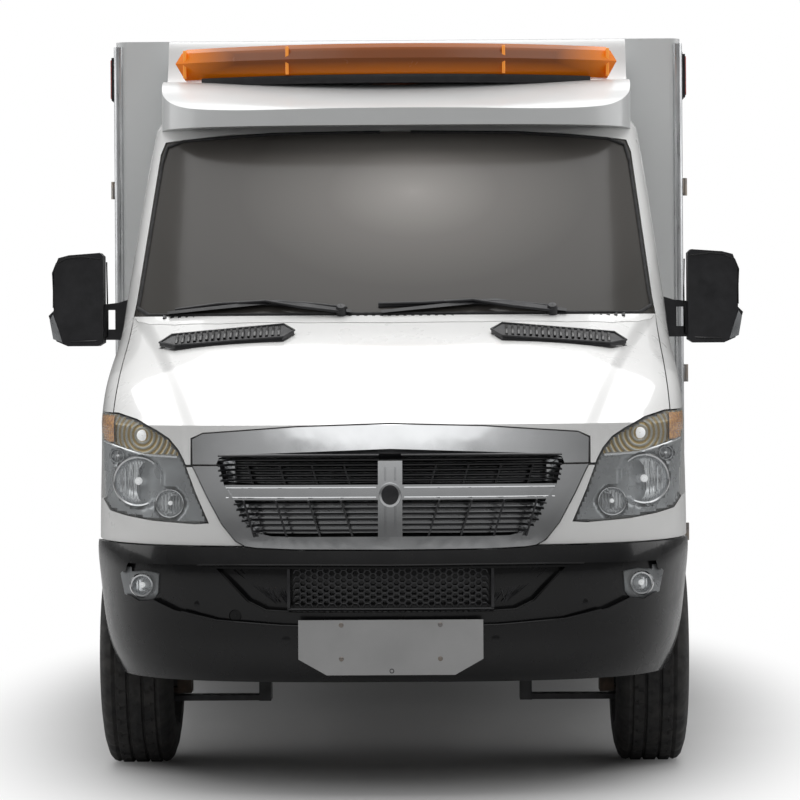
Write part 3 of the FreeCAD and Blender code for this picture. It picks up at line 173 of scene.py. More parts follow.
def make_paints():
    paint = Look("white_paint", (0.80, 0.80, 0.79), 0.32, Coat_Weight=0.9, Coat_Roughness=0.05)
    paint.mottle(paint.noise(1.3), 0.02).uneven(paint.noise(9.0), 0.05).bump(paint.noise(260, 2), 0.04,
            0.0004)
    # The box's paint is a darker copy of the white paint: a little of it is the greyer tone of painted aluminium,
    # the rest is painted shade on the box and the roof cap.
    body = Look("box_grey_and_painted_shade", (0.62, 0.63, 0.63), 0.40, Coat_Weight=0.5, Coat_Roughness=0.14)
    body.mottle(body.noise(0.9), 0.03).uneven(body.noise(6.0), 0.06).bump(body.noise(180, 2), 0.05, 0.0005)
    chassis = Look("chassis_paint", (0.022, 0.022, 0.024), 0.55, Coat_Weight=0.1)
    chassis.mottle(chassis.noise(7), 0.35).uneven(chassis.noise(25), 0.15).bump(chassis.noise(120), 0.2,
            0.001)


def make_plastics():
    grain = Look("black_plastic", (0.016, 0.016, 0.018), 0.42, Specular_IOR_Level=0.45)
    grain.mottle(grain.noise(30), 0.25).uneven(grain.noise(14), 0.1).bump(grain.cells(900), 0.25, 0.0005)
    gloss = Look("gloss_black", (0.0055, 0.0055, 0.006), 0.26, Specular_IOR_Level=0.22, Coat_Weight=0.30,
                 Coat_Roughness=0.08)
    gloss.mottle(gloss.noise(4), 0.3).uneven(gloss.noise(8), 0.07).bump(gloss.noise(320, 2), 0.05, 0.0003)
    slat = Look("slat_plastic", (0.020, 0.020, 0.022), 0.34, Specular_IOR_Level=0.4, Coat_Weight=0.15)
    slat.mottle(slat.noise(40), 0.25).uneven(slat.noise(20), 0.08).bump(slat.noise(600), 0.1, 0.0003)
    grey = Look("grey_plastic", (0.085, 0.086, 0.09), 0.62)
    grey.mottle(grey.noise(20), 0.15).uneven(grey.noise(30), 0.1).bump(grey.cells(700), 0.35, 0.0006)
    rubber = Look("rubber", (0.013, 0.013, 0.014), 0.75)
    rubber.mottle(rubber.noise(60), 0.3).uneven(rubber.noise(40), 0.1).bump(rubber.noise(500), 0.25, 0.0004)
    cabinet = Look("cabinet", (0.62, 0.61, 0.57), 0.4)
    cabinet.mottle(cabinet.noise(90), 0.05).uneven(cabinet.noise(12), 0.08).bump(cabinet.noise(450), 0.1,
            0.0004)
    floor = Look("bay_floor", (0.16, 0.18, 0.20), 0.55)
    floor.mottle(floor.cells(160), 0.35, (0.34, 0.36, 0.38), 0.05, 0.6).bump(floor.noise(300), 0.2, 0.0005)


def make_metals():
    chrome = Look("chrome", (0.66, 0.67, 0.68), 0.13, 1.0)
    chrome.mottle(chrome.noise(3), 0.05).uneven(chrome.noise(11), 0.05).bump(chrome.noise(400, 2), 0.03,
            0.0003)
    silver = Look("silver", (0.42, 0.42, 0.42), 0.42, 0.55)
    silver.mottle(silver.noise(5), 0.08).uneven(silver.noise(200, 3, (1, 1, 12)), 0.12)
    silver.bump(silver.noise(300, 3, (1, 1, 14)), 0.08, 0.0004)
    trim = Look("aluminium_trim", (0.56, 0.57, 0.58), 0.34, 0.9)
    trim.mottle(trim.noise(12), 0.08).uneven(trim.noise(160, 3, (1, 1, 0.05)), 0.12)
    trim.bump(trim.noise(240, 3, (1, 1, 0.05)), 0.08, 0.0003)
    wheel = Look("wheel_silver", (0.40, 0.41, 0.42), 0.38, 0.75, Coat_Weight=0.2)
    wheel.mottle(wheel.noise(16), 0.12).uneven(wheel.noise(30), 0.1).bump(wheel.noise(260), 0.12, 0.0005)
    steel = Look("steel", (0.32, 0.32, 0.33), 0.38, 1.0)
    steel.mottle(steel.noise(18), 0.25, (0.30, 0.25, 0.20)).uneven(steel.noise(50),
            0.15).bump(steel.noise(160), 0.2, 0.0006)
    iron = Look("iron", (0.10, 0.095, 0.09), 0.68, 0.7)
    iron.mottle(iron.noise(22), 0.35, (0.14, 0.10, 0.075)).uneven(iron.noise(40),
            0.12).bump(iron.noise(210), 0.5, 0.001)
    plate = Look("tread_plate", (0.46, 0.47, 0.48), 0.36, 0.9)
    ribs = plate.add("ShaderNodeMath", operation="MAXIMUM")
    plate.link(plate.waves(14, "DIAGONAL", 0, (1, 1, 0)), ribs.inputs[0])
    plate.link(plate.waves(14, "DIAGONAL", 0, (-1, 1, 0)), ribs.inputs[1])
    plate.mottle(plate.noise(25), 0.15).uneven(plate.noise(30),
                                               0.1).bump(plate.spread(ribs.outputs[0], 0, 1, 0.8, 0.95),
                                                         0.8, 0.002)


def make_lenses():
    glass = Look("glass", (0.05, 0.055, 0.055), 0.05, Specular_IOR_Level=0.7)
    glass.mottle(glass.noise(2), 0.1).bump(glass.noise(6, 1), 0.02, 0.001).see_through(0.45,
            (0.5, 0.53, 0.52))
    lens = Look("lamp_lens", (0.75, 0.76, 0.77), 0.06, Specular_IOR_Level=0.6)
    lens.mottle(lens.noise(6), 0.04).bump(lens.noise(5, 1), 0.02, 0.001).see_through(0.88,
            (0.95, 0.96, 0.96))
    bowl = Look("reflector", (0.62, 0.63, 0.64), 0.20, 0.85)
    bowl.mottle(bowl.noise(10), 0.12).uneven(bowl.noise(30), 0.08).bump(bowl.waves(34, "X", 0.0, (1, 1, 1)),
            0.35, 0.0015)
    shroud = Look("lamp_shroud", (0.34, 0.35, 0.36), 0.30, 0.65)
    shroud.mottle(shroud.noise(7), 0.18).uneven(shroud.noise(16), 0.08).bump(shroud.noise(300), 0.06,
            0.0004)
    bulb = Look("bulb", (0.92, 0.93, 0.94), 0.12, Emission_Color=(1, 1, 1, 1), Emission_Strength=0.35)
    bulb.mottle(bulb.noise(40), 0.05).bump(bulb.noise(90), 0.1, 0.0005)
    red = Look("red_lens", (0.26, 0.012, 0.010), 0.18, Coat_Weight=0.7)
    red.mottle(red.cells(120), 0.3, (0.45, 0.03, 0.02)).bump(red.waves(40, "Z"), 0.4, 0.001)
    orange = Look("orange_lens", (0.55, 0.20, 0.02), 0.2, Coat_Weight=0.6)
    orange.mottle(orange.cells(90), 0.25, (0.75, 0.34, 0.05)).bump(orange.waves(38, "Z"), 0.4, 0.001)
    amber = Look("amber_bar", (0.150, 0.038, 0.002), 0.24, Specular_IOR_Level=0.25, Coat_Weight=0.12,
                 Coat_Roughness=0.08, Emission_Color=(1.0, 0.25, 0.01, 1), Emission_Strength=0.05)
    low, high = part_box("lightbar")
    # Painted light in the bar's colour: lighter at its outer ends and along its foot, a painted glow of light
    # through the lens, and along its crown, a painted highlight.
    split = amber.add("ShaderNodeSeparateXYZ")
    amber.link(amber.place, split.inputs["Vector"])
    side = amber.add("ShaderNodeMath", operation="ABSOLUTE")
    amber.link(split.outputs["X"], side.inputs[0])
    ends = amber.spread(side.outputs[0], 0, 1, high.x * 0.72, high.x * 0.97)
    foot = amber.spread(split.outputs["Z"], 0.85, 0, low.z, low.z + 0.42 * (high.z - low.z))
    crown = amber.spread(split.outputs["Z"], 0, 0.35, high.z - 0.25 * (high.z - low.z), high.z)
    painted_glow = amber.add("ShaderNodeMath", operation="MAXIMUM")
    amber.link(ends, painted_glow.inputs[0])
    amber.link(foot, painted_glow.inputs[1])
    painted_light_mask = amber.add("ShaderNodeMath", operation="MAXIMUM")
    amber.link(painted_glow.outputs[0], painted_light_mask.inputs[0])
    amber.link(crown, painted_light_mask.inputs[1])
    amber.mottle(painted_light_mask.outputs[0], 0.15, (0.80, 0.215, 0.003), 0.0, 1.0)
    amber.uneven(amber.noise(12), 0.04).bump(amber.waves(34, "X"), 0.10, 0.0008).see_through(0.10,
            (1.0, 0.30, 0.02))


def make_screen():
    """The tinted windscreen, with a painted reflection in its colour: a round glare, lighter round its middle and
    darker to the edge.
    """
    screen = Look("windscreen", (0.035, 0.033, 0.031), 0.20, Specular_IOR_Level=0.18, Coat_Weight=0.06,
                  Coat_Roughness=0.05)
    low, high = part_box("windscreen")
    middle = screen.add("ShaderNodeMapping", vector_type="POINT")
    half = (high.x - low.x) / 2
    middle.inputs["Scale"].default_value = (1 / half / 1.06, 0, 1.25 / (high.z - low.z))
    middle.inputs["Location"].default_value = (-0.07, 0,
                                               -1.25 * (low.z + 0.66 * (high.z - low.z)) / (high.z - low.z))
    screen.link(screen.place, middle.inputs["Vector"])
    # Painted reflection: a round glare, lighter in the middle of the screen and darker towards its edge.
    painted_glare = screen.add("ShaderNodeTexGradient", gradient_type="SPHERICAL")
    screen.link(middle.outputs["Vector"], painted_glare.inputs["Vector"])
    ramp = screen.add("ShaderNodeValToRGB")
    stops = ramp.color_ramp.elements
    stops[0].position, stops[0].color = 0.0, (0.046, 0.043, 0.039, 1)
    stops[1].position, stops[1].color = 1.0, (0.30, 0.285, 0.268, 1)
    step = stops.new(0.35)
    step.color = (0.072, 0.067, 0.062, 1)
    wide = stops.new(0.68)
    wide.color = (0.145, 0.136, 0.127, 1)
    screen.link(painted_glare.outputs["Fac"], ramp.inputs["Fac"])
    screen.link(ramp.outputs["Color"], screen.shader.inputs["Base Color"])
    screen.bump(screen.noise(2.5, 1), 0.02, 0.002).see_through(0.06, (0.5, 0.48, 0.46))


def make_soft():
    cloth = Look("seat_cloth", (0.045, 0.047, 0.052), 0.85, Sheen_Weight=0.25)
    weave = cloth.add("ShaderNodeMath", operation="MULTIPLY")
    cloth.link(cloth.waves(170, "X", 0.6), weave.inputs[0])
    cloth.link(cloth.waves(170, "Z", 0.6, (1, 1, 1)), weave.inputs[1])
    cloth.mottle(weave.outputs[0], 0.4, (0.085, 0.088, 0.095), 0.1, 0.8).bump(weave.outputs[0], 0.5, 0.0012)
    vinyl = Look("vinyl", (0.030, 0.075, 0.20), 0.42, Coat_Weight=0.15)
    vinyl.mottle(vinyl.noise(9), 0.15).uneven(vinyl.noise(40), 0.08).bump(vinyl.cells(330), 0.35, 0.0007)
    tyre = Look("tyre", (0.017, 0.017, 0.018), 0.78)
    tyre.mottle(tyre.noise(18), 0.3, (0.035, 0.033, 0.031)).uneven(tyre.noise(50),
            0.1).bump(tyre.noise(420), 0.3, 0.0006)


def make_floor_look():
    ground = Look("studio_floor", (0.50, 0.50, 0.50), 0.7, Specular_IOR_Level=0.2)
    ground.mottle(ground.noise(0.4), 0.01).uneven(ground.noise(3), 0.05).bump(ground.noise(70), 0.03,
            0.0005)
    reach = ground.add("ShaderNodeVectorMath", operation="LENGTH")
    ground.link(ground.scaled((1 / 1.05, 1 / 2.9, 0)), reach.inputs[0])
    fade = ground.add("ShaderNodeMapRange", interpolation_type="SMOOTHSTEP")
    for key, value in (("From Min", 1.0), ("From Max", 1.75), ("To Min", 0.0), ("To Max", 1.0)):
        fade.inputs[key].default_value = value
    ground.link(reach.outputs["Value"], fade.inputs["Value"])
    seen = ground.add("ShaderNodeLightPath")
    share = ground.add("ShaderNodeMath", operation="MULTIPLY")
    ground.link(fade.outputs["Result"], share.inputs[0])
    ground.link(seen.outputs["Is Camera Ray"], share.inputs[1])
    white = ground.add("ShaderNodeEmission", Color=(1, 1, 1, 1), Strength=1.0)
    mix = ground.add("ShaderNodeMixShader")
    ground.link(share.outputs[0], mix.inputs[0])
    ground.link(ground.shader.outputs["BSDF"], mix.inputs[1])
    ground.link(white.outputs["Emission"], mix.inputs[2])
    ground.link(mix.outputs["Shader"], ground.tree.nodes["Material Output"].inputs["Surface"])


def make_chamber():
    """The concentric amber prisms of a turn signal, ringed about its own bulb."""
    for side, sign in SIDES:
        prism = Look("signal_prisms_" + side, (0.42, 0.27, 0.05), 0.26, 0.5)
        shift = prism.add("ShaderNodeMapping")
        shift.inputs["Location"].default_value = (-sign * SIGNAL_BULB[0], 0, -SIGNAL_BULB[1])
        prism.link(prism.place, shift.inputs["Vector"])
        rings = prism.add("ShaderNodeTexWave", Scale=19.0, wave_type="RINGS", rings_direction="Y")
        prism.link(shift.outputs["Vector"], rings.inputs["Vector"])
        prism.mottle(rings.outputs["Fac"], 0.35, (0.36, 0.35, 0.30), 0.35, 0.7).bump(rings.outputs["Fac"],
                0.6, 0.003)


# ---------------------------------------------------------------- mesh helpers
class Form:
    """A mesh in the making; its pieces are added one after another."""

    def __init__(self):
        self.mesh = bmesh.new()

    def faces(self, spots, faces):
        made = [self.mesh.verts.new(p) for p in spots]
        for face in faces:
            corners = [made[i] for i in face]
            if len(set(corners)) > 2:
                self.mesh.faces.new(corners)
        return self

    def block(self, low, high, round_to=0.0, turn=None):
        """A box with its edges rounded; turn is a matrix about its own middle."""
        low, high = Vector(low), Vector(high)
        centre, span = (low + high) / 2, high - low
        made = bmesh.ops.create_cube(self.mesh, size=1.0)
        corners = made["verts"]
        for v in corners:
            v.co = Vector((v.co.x * span.x, v.co.y * span.y, v.co.z * span.z))
        if round_to > 0:
            edges = list({e for v in corners for e in v.link_edges})
            limit = min(abs(s) for s in span) * 0.48
            made = bmesh.ops.bevel(
                self.mesh, geom=edges, offset=min(round_to, limit), segments=3, profile=0.5, affect="EDGES",
                clamp_overlap=True,
            )
            corners = list({v for f in made["faces"] for v in f.verts} | {v for v in corners if v.is_valid})
        move = Matrix.Translation(centre) @ (turn or Matrix.Identity(4))
        bmesh.ops.transform(self.mesh, matrix=move, verts=corners)
        return self

    def turned(self, profile, centre, axis, steps=32, closed=False):
        """A surface of revolution: profile holds (radius, distance along the axis)."""
        turn = Vector((0, 0, 1)).rotation_difference(Vector(axis)).to_matrix()
        rings = []
        for radius, along in profile:
            ring = []
            for i in range(steps):
                angle = 2 * math.pi * i / steps
                spot = Vector((radius * math.cos(angle), radius * math.sin(angle), along))
                ring.append(self.mesh.verts.new(Vector(centre) + turn @ spot))
            rings.append(ring)
        pairs = list(zip(rings, rings[1:])) + ([(rings[-1], rings[0])] if closed else [])
        for low, high in pairs:
            for i in range(steps):
                j = (i + 1) % steps
                self.mesh.faces.new((low[i], low[j], high[j], high[i]))
        return self

    def tube(self, path, radius, sides=10, squash=1.0):
        """A round or flattened tube along points."""
        path = [Vector(p) for p in path]
        rings = []
        for i, spot in enumerate(path):
            ahead = (path[min(i + 1, len(path) - 1)] - path[max(i - 1, 0)]).normalized()
            across = ahead.cross(Vector((0, 0, 1)))
            if across.length < 0.01:
                across = ahead.cross(Vector((0, 1, 0)))
            across.normalize()
            up = across.cross(ahead)
            ring = []
            for k in range(sides):
                angle = 2 * math.pi * k / sides
                wide, tall = radius * math.cos(angle), radius * squash * math.sin(angle)
                ring.append(self.mesh.verts.new(spot + across * wide + up * tall))
            rings.append(ring)
        for low, high in zip(rings, rings[1:]):
            for k in range(sides):
                j = (k + 1) % sides
                self.mesh.faces.new((low[k], low[j], high[j], high[k]))
        self.mesh.faces.new(list(reversed(rings[0])))
        self.mesh.faces.new(rings[-1])
        return self

    def prism(self, outline, move, round_to=0.0):
        """A flat outline of points pushed along a vector, with rounded rims."""
        base = [self.mesh.verts.new(p) for p in outline]
        face = self.mesh.faces.new(base)
        pushed = bmesh.ops.extrude_face_region(self.mesh, geom=[face])
        top = [v for v in pushed["geom"] if isinstance(v, bmesh.types.BMVert)]
        bmesh.ops.translate(self.mesh, vec=Vector(move), verts=top)
        if round_to > 0:
            ends = (set(top), set(base))
            rims = [e for e in self.mesh.edges if e.is_valid and any({*e.verts} <= end for end in ends)]
            bmesh.ops.bevel(self.mesh, geom=rims, offset=round_to, segments=2, profile=0.5, affect="EDGES",
                            clamp_overlap=True)
        return self

    def piece(self, name, look, body, slot, smooth=32.0, subdivide=0):
        bmesh.ops.recalc_face_normals(self.mesh, faces=self.mesh.faces)
        data = bpy.data.meshes.new(name)
        self.mesh.to_mesh(data)
        self.mesh.free()
        made = bpy.data.objects.new(name, data)
        bpy.context.scene.collection.objects.link(made)
        return dress(made, look, body, smooth, subdivide)


def dress(made, look, body, smooth=32.0, subdivide=0):
    """Gives a piece its material, shading and body."""
    made.data.materials.clear()
    made.data.materials.append(MATERIALS[look])
    made.data.shade_smooth()
    made.data.set_sharp_from_angle(angle=math.radians(smooth))
    if subdivide:
        made.modifiers.new("smooth", "SUBSURF").levels = subdivide
        made.modifiers["smooth"].render_levels = subdivide
    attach(made, body)
    return made


class Skin:
    """Rays on the rest shape of some CAD nodes."""

    def __init__(self, *names):
        spots, faces = [], []
        for name in names:
            mesh = NODES[name].data
            base = len(spots)
            spots += [v.co.copy() for v in mesh.vertices]
            faces += [[base + i for i in p.vertices] for p in mesh.polygons]
        self.tree = BVHTree.FromPolygons(spots, faces)

    def hit(self, origin, direction, reach=10.0):
        return self.tree.ray_cast(Vector(origin), Vector(direction), reach)[:2]

    def from_front(self, x, z):
        spot = self.hit((x, -9, z), (0, 1, 0), 20)[0]
        return None if spot is None else spot.y

    def from_above(self, x, y):
        return self.hit((x, y, 6), (0, 0, -1))


def steps(low, high, count):
    return [low + (high - low) * i / (count - 1) for i in range(count)]


# ---------------------------------------------------------------- grille and hood trim
SIGNAL_BULB = (0.811, 1.150)
MAIN_LAMP = (0.826, 1.000)
DIP_LAMP = (0.716, 0.932)
PARK_LAMP = (0.903, 1.080)


def grille_dressing():
    """Black backing, louvres, leaning dividers, ribs on the post and a plain plaque."""
    grille = Skin("grille")
    low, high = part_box("grille")
    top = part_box("hood_bar")[0].z
    mid_bar = (0.946, 0.994)
    reach = 0.545

    def nose(x, z):
        """The Y of the nose's own surface, read from the dark backing set behind it."""
        level = min(z, high.z + 0.012)
        spot = grille.from_front(x, level)
        return (spot if spot is not None else low.y + 0.06) - 0.058 + 0.3 * (z - level)

    backing = Form()
    rows = steps(low.z + 0.03, top + 0.055, 14)
    columns = steps(-0.60, 0.60, 41)
    spots = []
    for z in rows:
        for x in columns:
            limit = 0.40 + 0.16 * min(1.0, (z - rows[0]) / 0.18)
            spots.append((max(-limit, min(limit, x)), nose(0.3, z) + 0.058 + 0.13 * x * x, z))
    wide = len(columns)
    quads = [
        (r * wide + c, r * wide + c + 1, (r + 1) * wide + c + 1, (r + 1) * wide + c)
        for r in range(len(rows) - 1) for c in range(wide - 1)
    ]
    backing.faces(spots, quads).piece("grille_backing", "black_plastic", "van", "black_plastic")

    def edge(z, sign):
        """How far the opening reaches to one side at a height."""
        inside = nose(sign * 0.3, z) + 0.030
        spot = grille.hit((sign * 0.06, inside, z), (sign, 0, 0), 1.0)[0]
        return abs(spot.x) if spot is not None and abs(spot.x) < reach else reach

    louvres, dividers = Form(), Form()
    for first, last, count in ((0.8450, 0.9330, 6), (1.0075, 1.0880, 6)):
        for z in steps(first, last, count):
            for sign in (1, -1):
                end = edge(z, sign) + 0.006
                path = [sign * x for x in steps(0.036, end, 14)]
                section = ((0.016, 0.0022), (0.019, 0.0036), (0.042, 0.0052), (0.042, -0.0005),
                           (0.018, -0.0018))
                spots = [(x, nose(sign * max(abs(x), 0.05), z) + back, z + up) for x in path for back,
                         up in section]
                n = len(section)
                quads = [
                    (i * n + k, (i + 1) * n + k, (i + 1) * n + (k + 1) % n, i * n + (k + 1) % n)
                    for i in range(len(path) - 1) for k in range(n)
                ]
                louvres.faces(spots, quads)
    louvres.piece("grille_louvres", "slat_plastic", "van", "gloss_black")
    for first, last in ((mid_bar[0] - 0.118, mid_bar[0]), (mid_bar[1], top - 0.002)):
        for k in range(1, 5):
            for sign in (1, -1):
                foot = 0.036 + 0.104 * k
                lean = 0.30 * (last - first)
                x_low, x_high = sign * (foot - lean / 2), sign * (foot + lean / 2)
                if foot - lean / 2 > edge(first + 0.03, sign) - 0.004:
                    continue
                spots = []
                for x, z in ((x_low, first + 0.002), (x_high, last)):
                    y = nose(sign * foot, z)
                    spots += [(x - 0.003, y + 0.022, z), (x + 0.003, y + 0.022, z),
                              (x + 0.003, y + 0.046, z), (x - 0.003, y + 0.046, z)]
                dividers.faces(spots, [(0, 1, 5, 4), (1, 2, 6, 5), (2, 3, 7, 6), (3, 0, 4, 7), (0, 3, 2, 1),
                                       (4, 5, 6, 7)])
    dividers.piece("grille_dividers", "slat_plastic", "van", "gloss_black")

    ribs = Form()
    for x in (-0.016, 0.016):
        for z0, z1 in ((0.838, 0.925), (1.008, 1.050)):
            path = [(x, grille.from_front(0.0, z) - 0.0008, z) for z in steps(z0, z1, 8)]
            ribs.tube(path, 0.0032, 8)
    for z, width in ((mid_bar[0] + 0.008, 0.54), (mid_bar[1] - 0.009, 0.54)):
        for sign in (1, -1):
            path = [(sign * x, grille.from_front(sign * x, z) - 0.0004, z) for x in steps(0.045,
                    width - 0.012, 22)]
            ribs.tube(path, 0.0024, 8)
    ribs.piece("grille_ribs", "chrome", "van", "chrome")

    face = grille.from_front(0.0, 0.97) - 0.001
    def oval(width, height):
        angles = [2 * math.pi * k / 32 for k in range(32)]
        return [(width * math.cos(a), 0.962 + height * math.sin(a)) for a in angles]

    plaque = Form().prism([(x, face, z) for x, z in oval(0.036, 0.040)], (0, -0.010, 0), 0.003)
    plaque.piece("grille_plaque", "chrome", "van", "chrome")
    inner = [(x, face - 0.0096, z) for x, z in oval(0.028, 0.032)]
    Form().prism(inner, (0, -0.003, 0), 0.001).piece("grille_plaque_field", "slat_plastic", "van",
                                                     "gloss_black")


def hood_vents():
    """Ribbed black panels let into the two pockets of the hood."""
    hood = Skin("hood")
    base, ribs = Form(), Form()
    outline = [(0.336, 0.815), (0.374, 0.760), (0.740, 0.760), (0.796, 0.815), (0.758, 0.870),
               (0.374, 0.870)]

    def deck(x, depth):
        spot, normal = hood.from_above(x, at(depth))
        return spot, normal

    centre = (0.566, 0.815)
    pocket = 0.0225

    for sign in (1, -1):
        def level(x, depth, pull=0.10):
            """The hood's outer skin, carried across the pocket from its floor."""
            inside = deck(sign * (x + pull * (centre[0] - x)), depth + pull * (centre[1] - depth))[0]
            return inside.z + pocket + 0.36 * pull * (depth - centre[1])

        spots = [(sign * x, at(depth), level(x, depth) + 0.0012) for x, depth in outline]
        base.prism(spots, (0, 0, -0.012))
        rim = [Vector((sign * x, at(depth), level(x, depth) + 0.0022)) for x,
               depth in outline + outline[:2]]
        base.tube(rim, 0.0042, 8)
        for k in range(18):
            x = 0.388 + 0.0205 * k
            z = level(x, centre[1])
            tilt = math.atan((level(x, 0.845) - level(x, 0.785)) / 0.060)
            ribs.block((sign * x - 0.0045, at(0.772), z - 0.003), (sign * x + 0.0045, at(0.858), z + 0.005),
                       0.002,
                       Matrix.Rotation(tilt, 4, "X"))
    base.piece("hood_vent_frames", "black_plastic", "hood", "black_plastic")
    ribs.piece("hood_vent_ribs", "gloss_black", "hood", "gloss_black")


def crease_paint():
    """The hood's paint, with the two pressed creases that run from the screen to the grille."""
    hood = Look("hood_paint", (0.80, 0.80, 0.79), 0.30, Coat_Weight=0.9, Coat_Roughness=0.05)
    split = hood.add("ShaderNodeSeparateXYZ")
    hood.link(hood.place, split.inputs["Vector"])
    side = hood.add("ShaderNodeMath", operation="ABSOLUTE")
    hood.link(split.outputs["X"], side.inputs[0])
    line = hood.add("ShaderNodeMapRange", clamp=False)
    for key, value in (("From Min", at(0.20)), ("From Max", at(1.10)), ("To Min", 0.665),
                       ("To Max", 0.875)):
        line.inputs[key].default_value = value
    hood.link(split.outputs["Y"], line.inputs["Value"])
    away = hood.add("ShaderNodeMath", operation="SUBTRACT")
    hood.link(side.outputs[0], away.inputs[0])
    hood.link(line.outputs["Result"], away.inputs[1])
    step = hood.add("ShaderNodeMapRange", interpolation_type="SMOOTHSTEP")
    for key, value in (("From Min", -0.035), ("From Max", 0.020), ("To Min", 1.0), ("To Max", 0.0)):
        step.inputs[key].default_value = value
    hood.link(away.outputs[0], step.inputs["Value"])
    hood.mottle(hood.noise(1.3), 0.02).uneven(hood.noise(9.0), 0.05).bump(step.outputs["Result"], 0.95,
            0.022)
    hood.bump(hood.noise(260, 2), 0.04, 0.0004)


# ---------------------------------------------------------------- lamps at the front
def disc_lamp(name, centre, depth, radius, face, sign, bowl="reflector"):
    """A round lamp: rim, ribbed bowl and a bulb cap on its axis, looking forward."""
    spot = (sign * centre[0], face + depth, centre[1])
    bowl_form = Form().turned([(radius, 0.0), (radius * 0.96, -0.012), (radius * 0.8, -0.026),
                               (radius * 0.5, -0.038), (radius * 0.12, -0.042)], spot, (0, -1, 0), 40)
    bowl_form.piece(name + "_bowl", bowl, "van", "lamp", 40)
    rim = Form().turned([(radius * 1.0, -0.004), (radius * 1.02, 0.006), (radius * 1.09, 0.008),
                         (radius * 1.13, -0.002), (radius * 1.13, -0.03)], spot, (0, -1, 0), 40)
    rim.piece(name + "_rim", "chrome", "van", "chrome", 40)
    cap = Form().turned([(radius * 0.17, -0.040), (radius * 0.17, -0.012), (radius * 0.12, -0.006),
                         (0.001, -0.004)], spot, (0, -1, 0), 20)
    cap.piece(name + "_bulb", "bulb", "van", "lamp", 40)
    flutes = Form()
    for k in range(-3, 4):
        x = k * radius * 0.24
        half = math.sqrt(max(0.0, (radius * 0.86) ** 2 - x * x))
        drop = -0.030 + 0.020 * (abs(k) / 3.4) ** 2
        flutes.tube([(spot[0] + x, spot[1] - drop, spot[2] + z) for z in (-half, -half * 0.5, 0, half * 0.5,
                half)], 0.0016, 6)
    flutes.piece(name + "_flutes", "reflector", "van", "lamp")


def headlamps():
    """What shows through the clear lamp covers: shroud, lamps and the amber signal chamber."""
    cover = Skin("front_lamps")
    for side, sign in SIDES:
        cells = {}
        xs = steps(0.585, 0.985, 51)
        zs = steps(0.868, 1.224, 46)
        shroud, signal = Form(), Form()
        for i, x in enumerate(xs):
            for k, z in enumerate(zs):
                y = cover.from_front(sign * x, z)
                if y is not None:
                    cells[i, k] = y
        def floor_of(x):
            return 1.082 + 0.30 * max(0.0, abs(x) - 0.80) ** 1.2 + 0.05 * (x - 0.70)

        made = {}
        for (i, k), y in cells.items():
            x, z = xs[i], zs[k]
            well = 0.0
            for (cx, cz), r in ((MAIN_LAMP, 0.088), (DIP_LAMP, 0.052), (PARK_LAMP, 0.027)):
                gap = math.hypot(x - cx, z - cz)
                if gap < r:
                    well = 0.030
            made[i, k] = Vector((sign * x, min(y + 0.022 + well + 0.02 * max(0.0, z - 1.08), y + 0.062), z))
        for (i, k) in cells:
            ring = ((i, k), (i + 1, k), (i + 1, k + 1), (i, k + 1))
            if all(c in made for c in ring):
                above = zs[k] > floor_of(xs[i])
                (signal if above else shroud).faces([made[c] for c in ring], [(0, 1, 2, 3)])
        for form, look, name in ((shroud, "lamp_shroud", "lamp_shroud_"),
                                 (signal, "signal_prisms_" + side, "signal_chamber_")):
            bmesh.ops.remove_doubles(form.mesh, verts=form.mesh.verts, dist=1e-5)
            form.piece(name + side, look, "van", "lamp", 60)
        for label, centre, radius, depth in (("main", MAIN_LAMP, 0.074, 0.018),
                                             ("dip", DIP_LAMP, 0.042, 0.016),
                                             ("park", PARK_LAMP, 0.021, 0.014)):
            y = cover.from_front(sign * centre[0], centre[1])
            disc_lamp(f"lamp_{label}_{side}", centre, depth, radius, y, sign)
        y = cover.from_front(sign * SIGNAL_BULB[0], SIGNAL_BULB[1])
        cap = Form().turned([(0.020, -0.024), (0.018, -0.004), (0.010, 0.002), (0.001, 0.004)],
                            (sign * SIGNAL_BULB[0], y + 0.012, SIGNAL_BULB[1]), (0, -1, 0), 20)
        cap.piece("signal_bulb_" + side, "bulb", "van", "lamp")
        edge = Form()
        path = []
        for x in steps(0.690, 0.955, 20):
            z = floor_of(x)
            y = cover.from_front(sign * x, z)
            if y is not None:
                path.append((sign * x, y + 0.016, z))
        edge.tube(path, 0.0045, 8)
        edge.piece("signal_lip_" + side, "chrome", "van", "chrome")
        corner = Form()
        spots, rows = [], steps(1.125, 1.212, 8)
        for z in rows:
            for x in steps(0.915, 0.972, 6):
                y = cover.from_front(sign * x, z)
                spots.append(None if y is None else (sign * x, y + 0.012, z))
        for r in range(7):
            for c in range(5):
                ring = [spots[k] for k in (r * 6 + c, r * 6 + c + 1, (r + 1) * 6 + c + 1, (r + 1) * 6 + c)]
                if None not in ring:
                    corner.faces(ring, [(0, 1, 2, 3)])
        bmesh.ops.remove_doubles(corner.mesh, verts=corner.mesh.verts, dist=1e-5)
        corner.piece("signal_corner_" + side, "orange_lens", "van", "amber", 60)


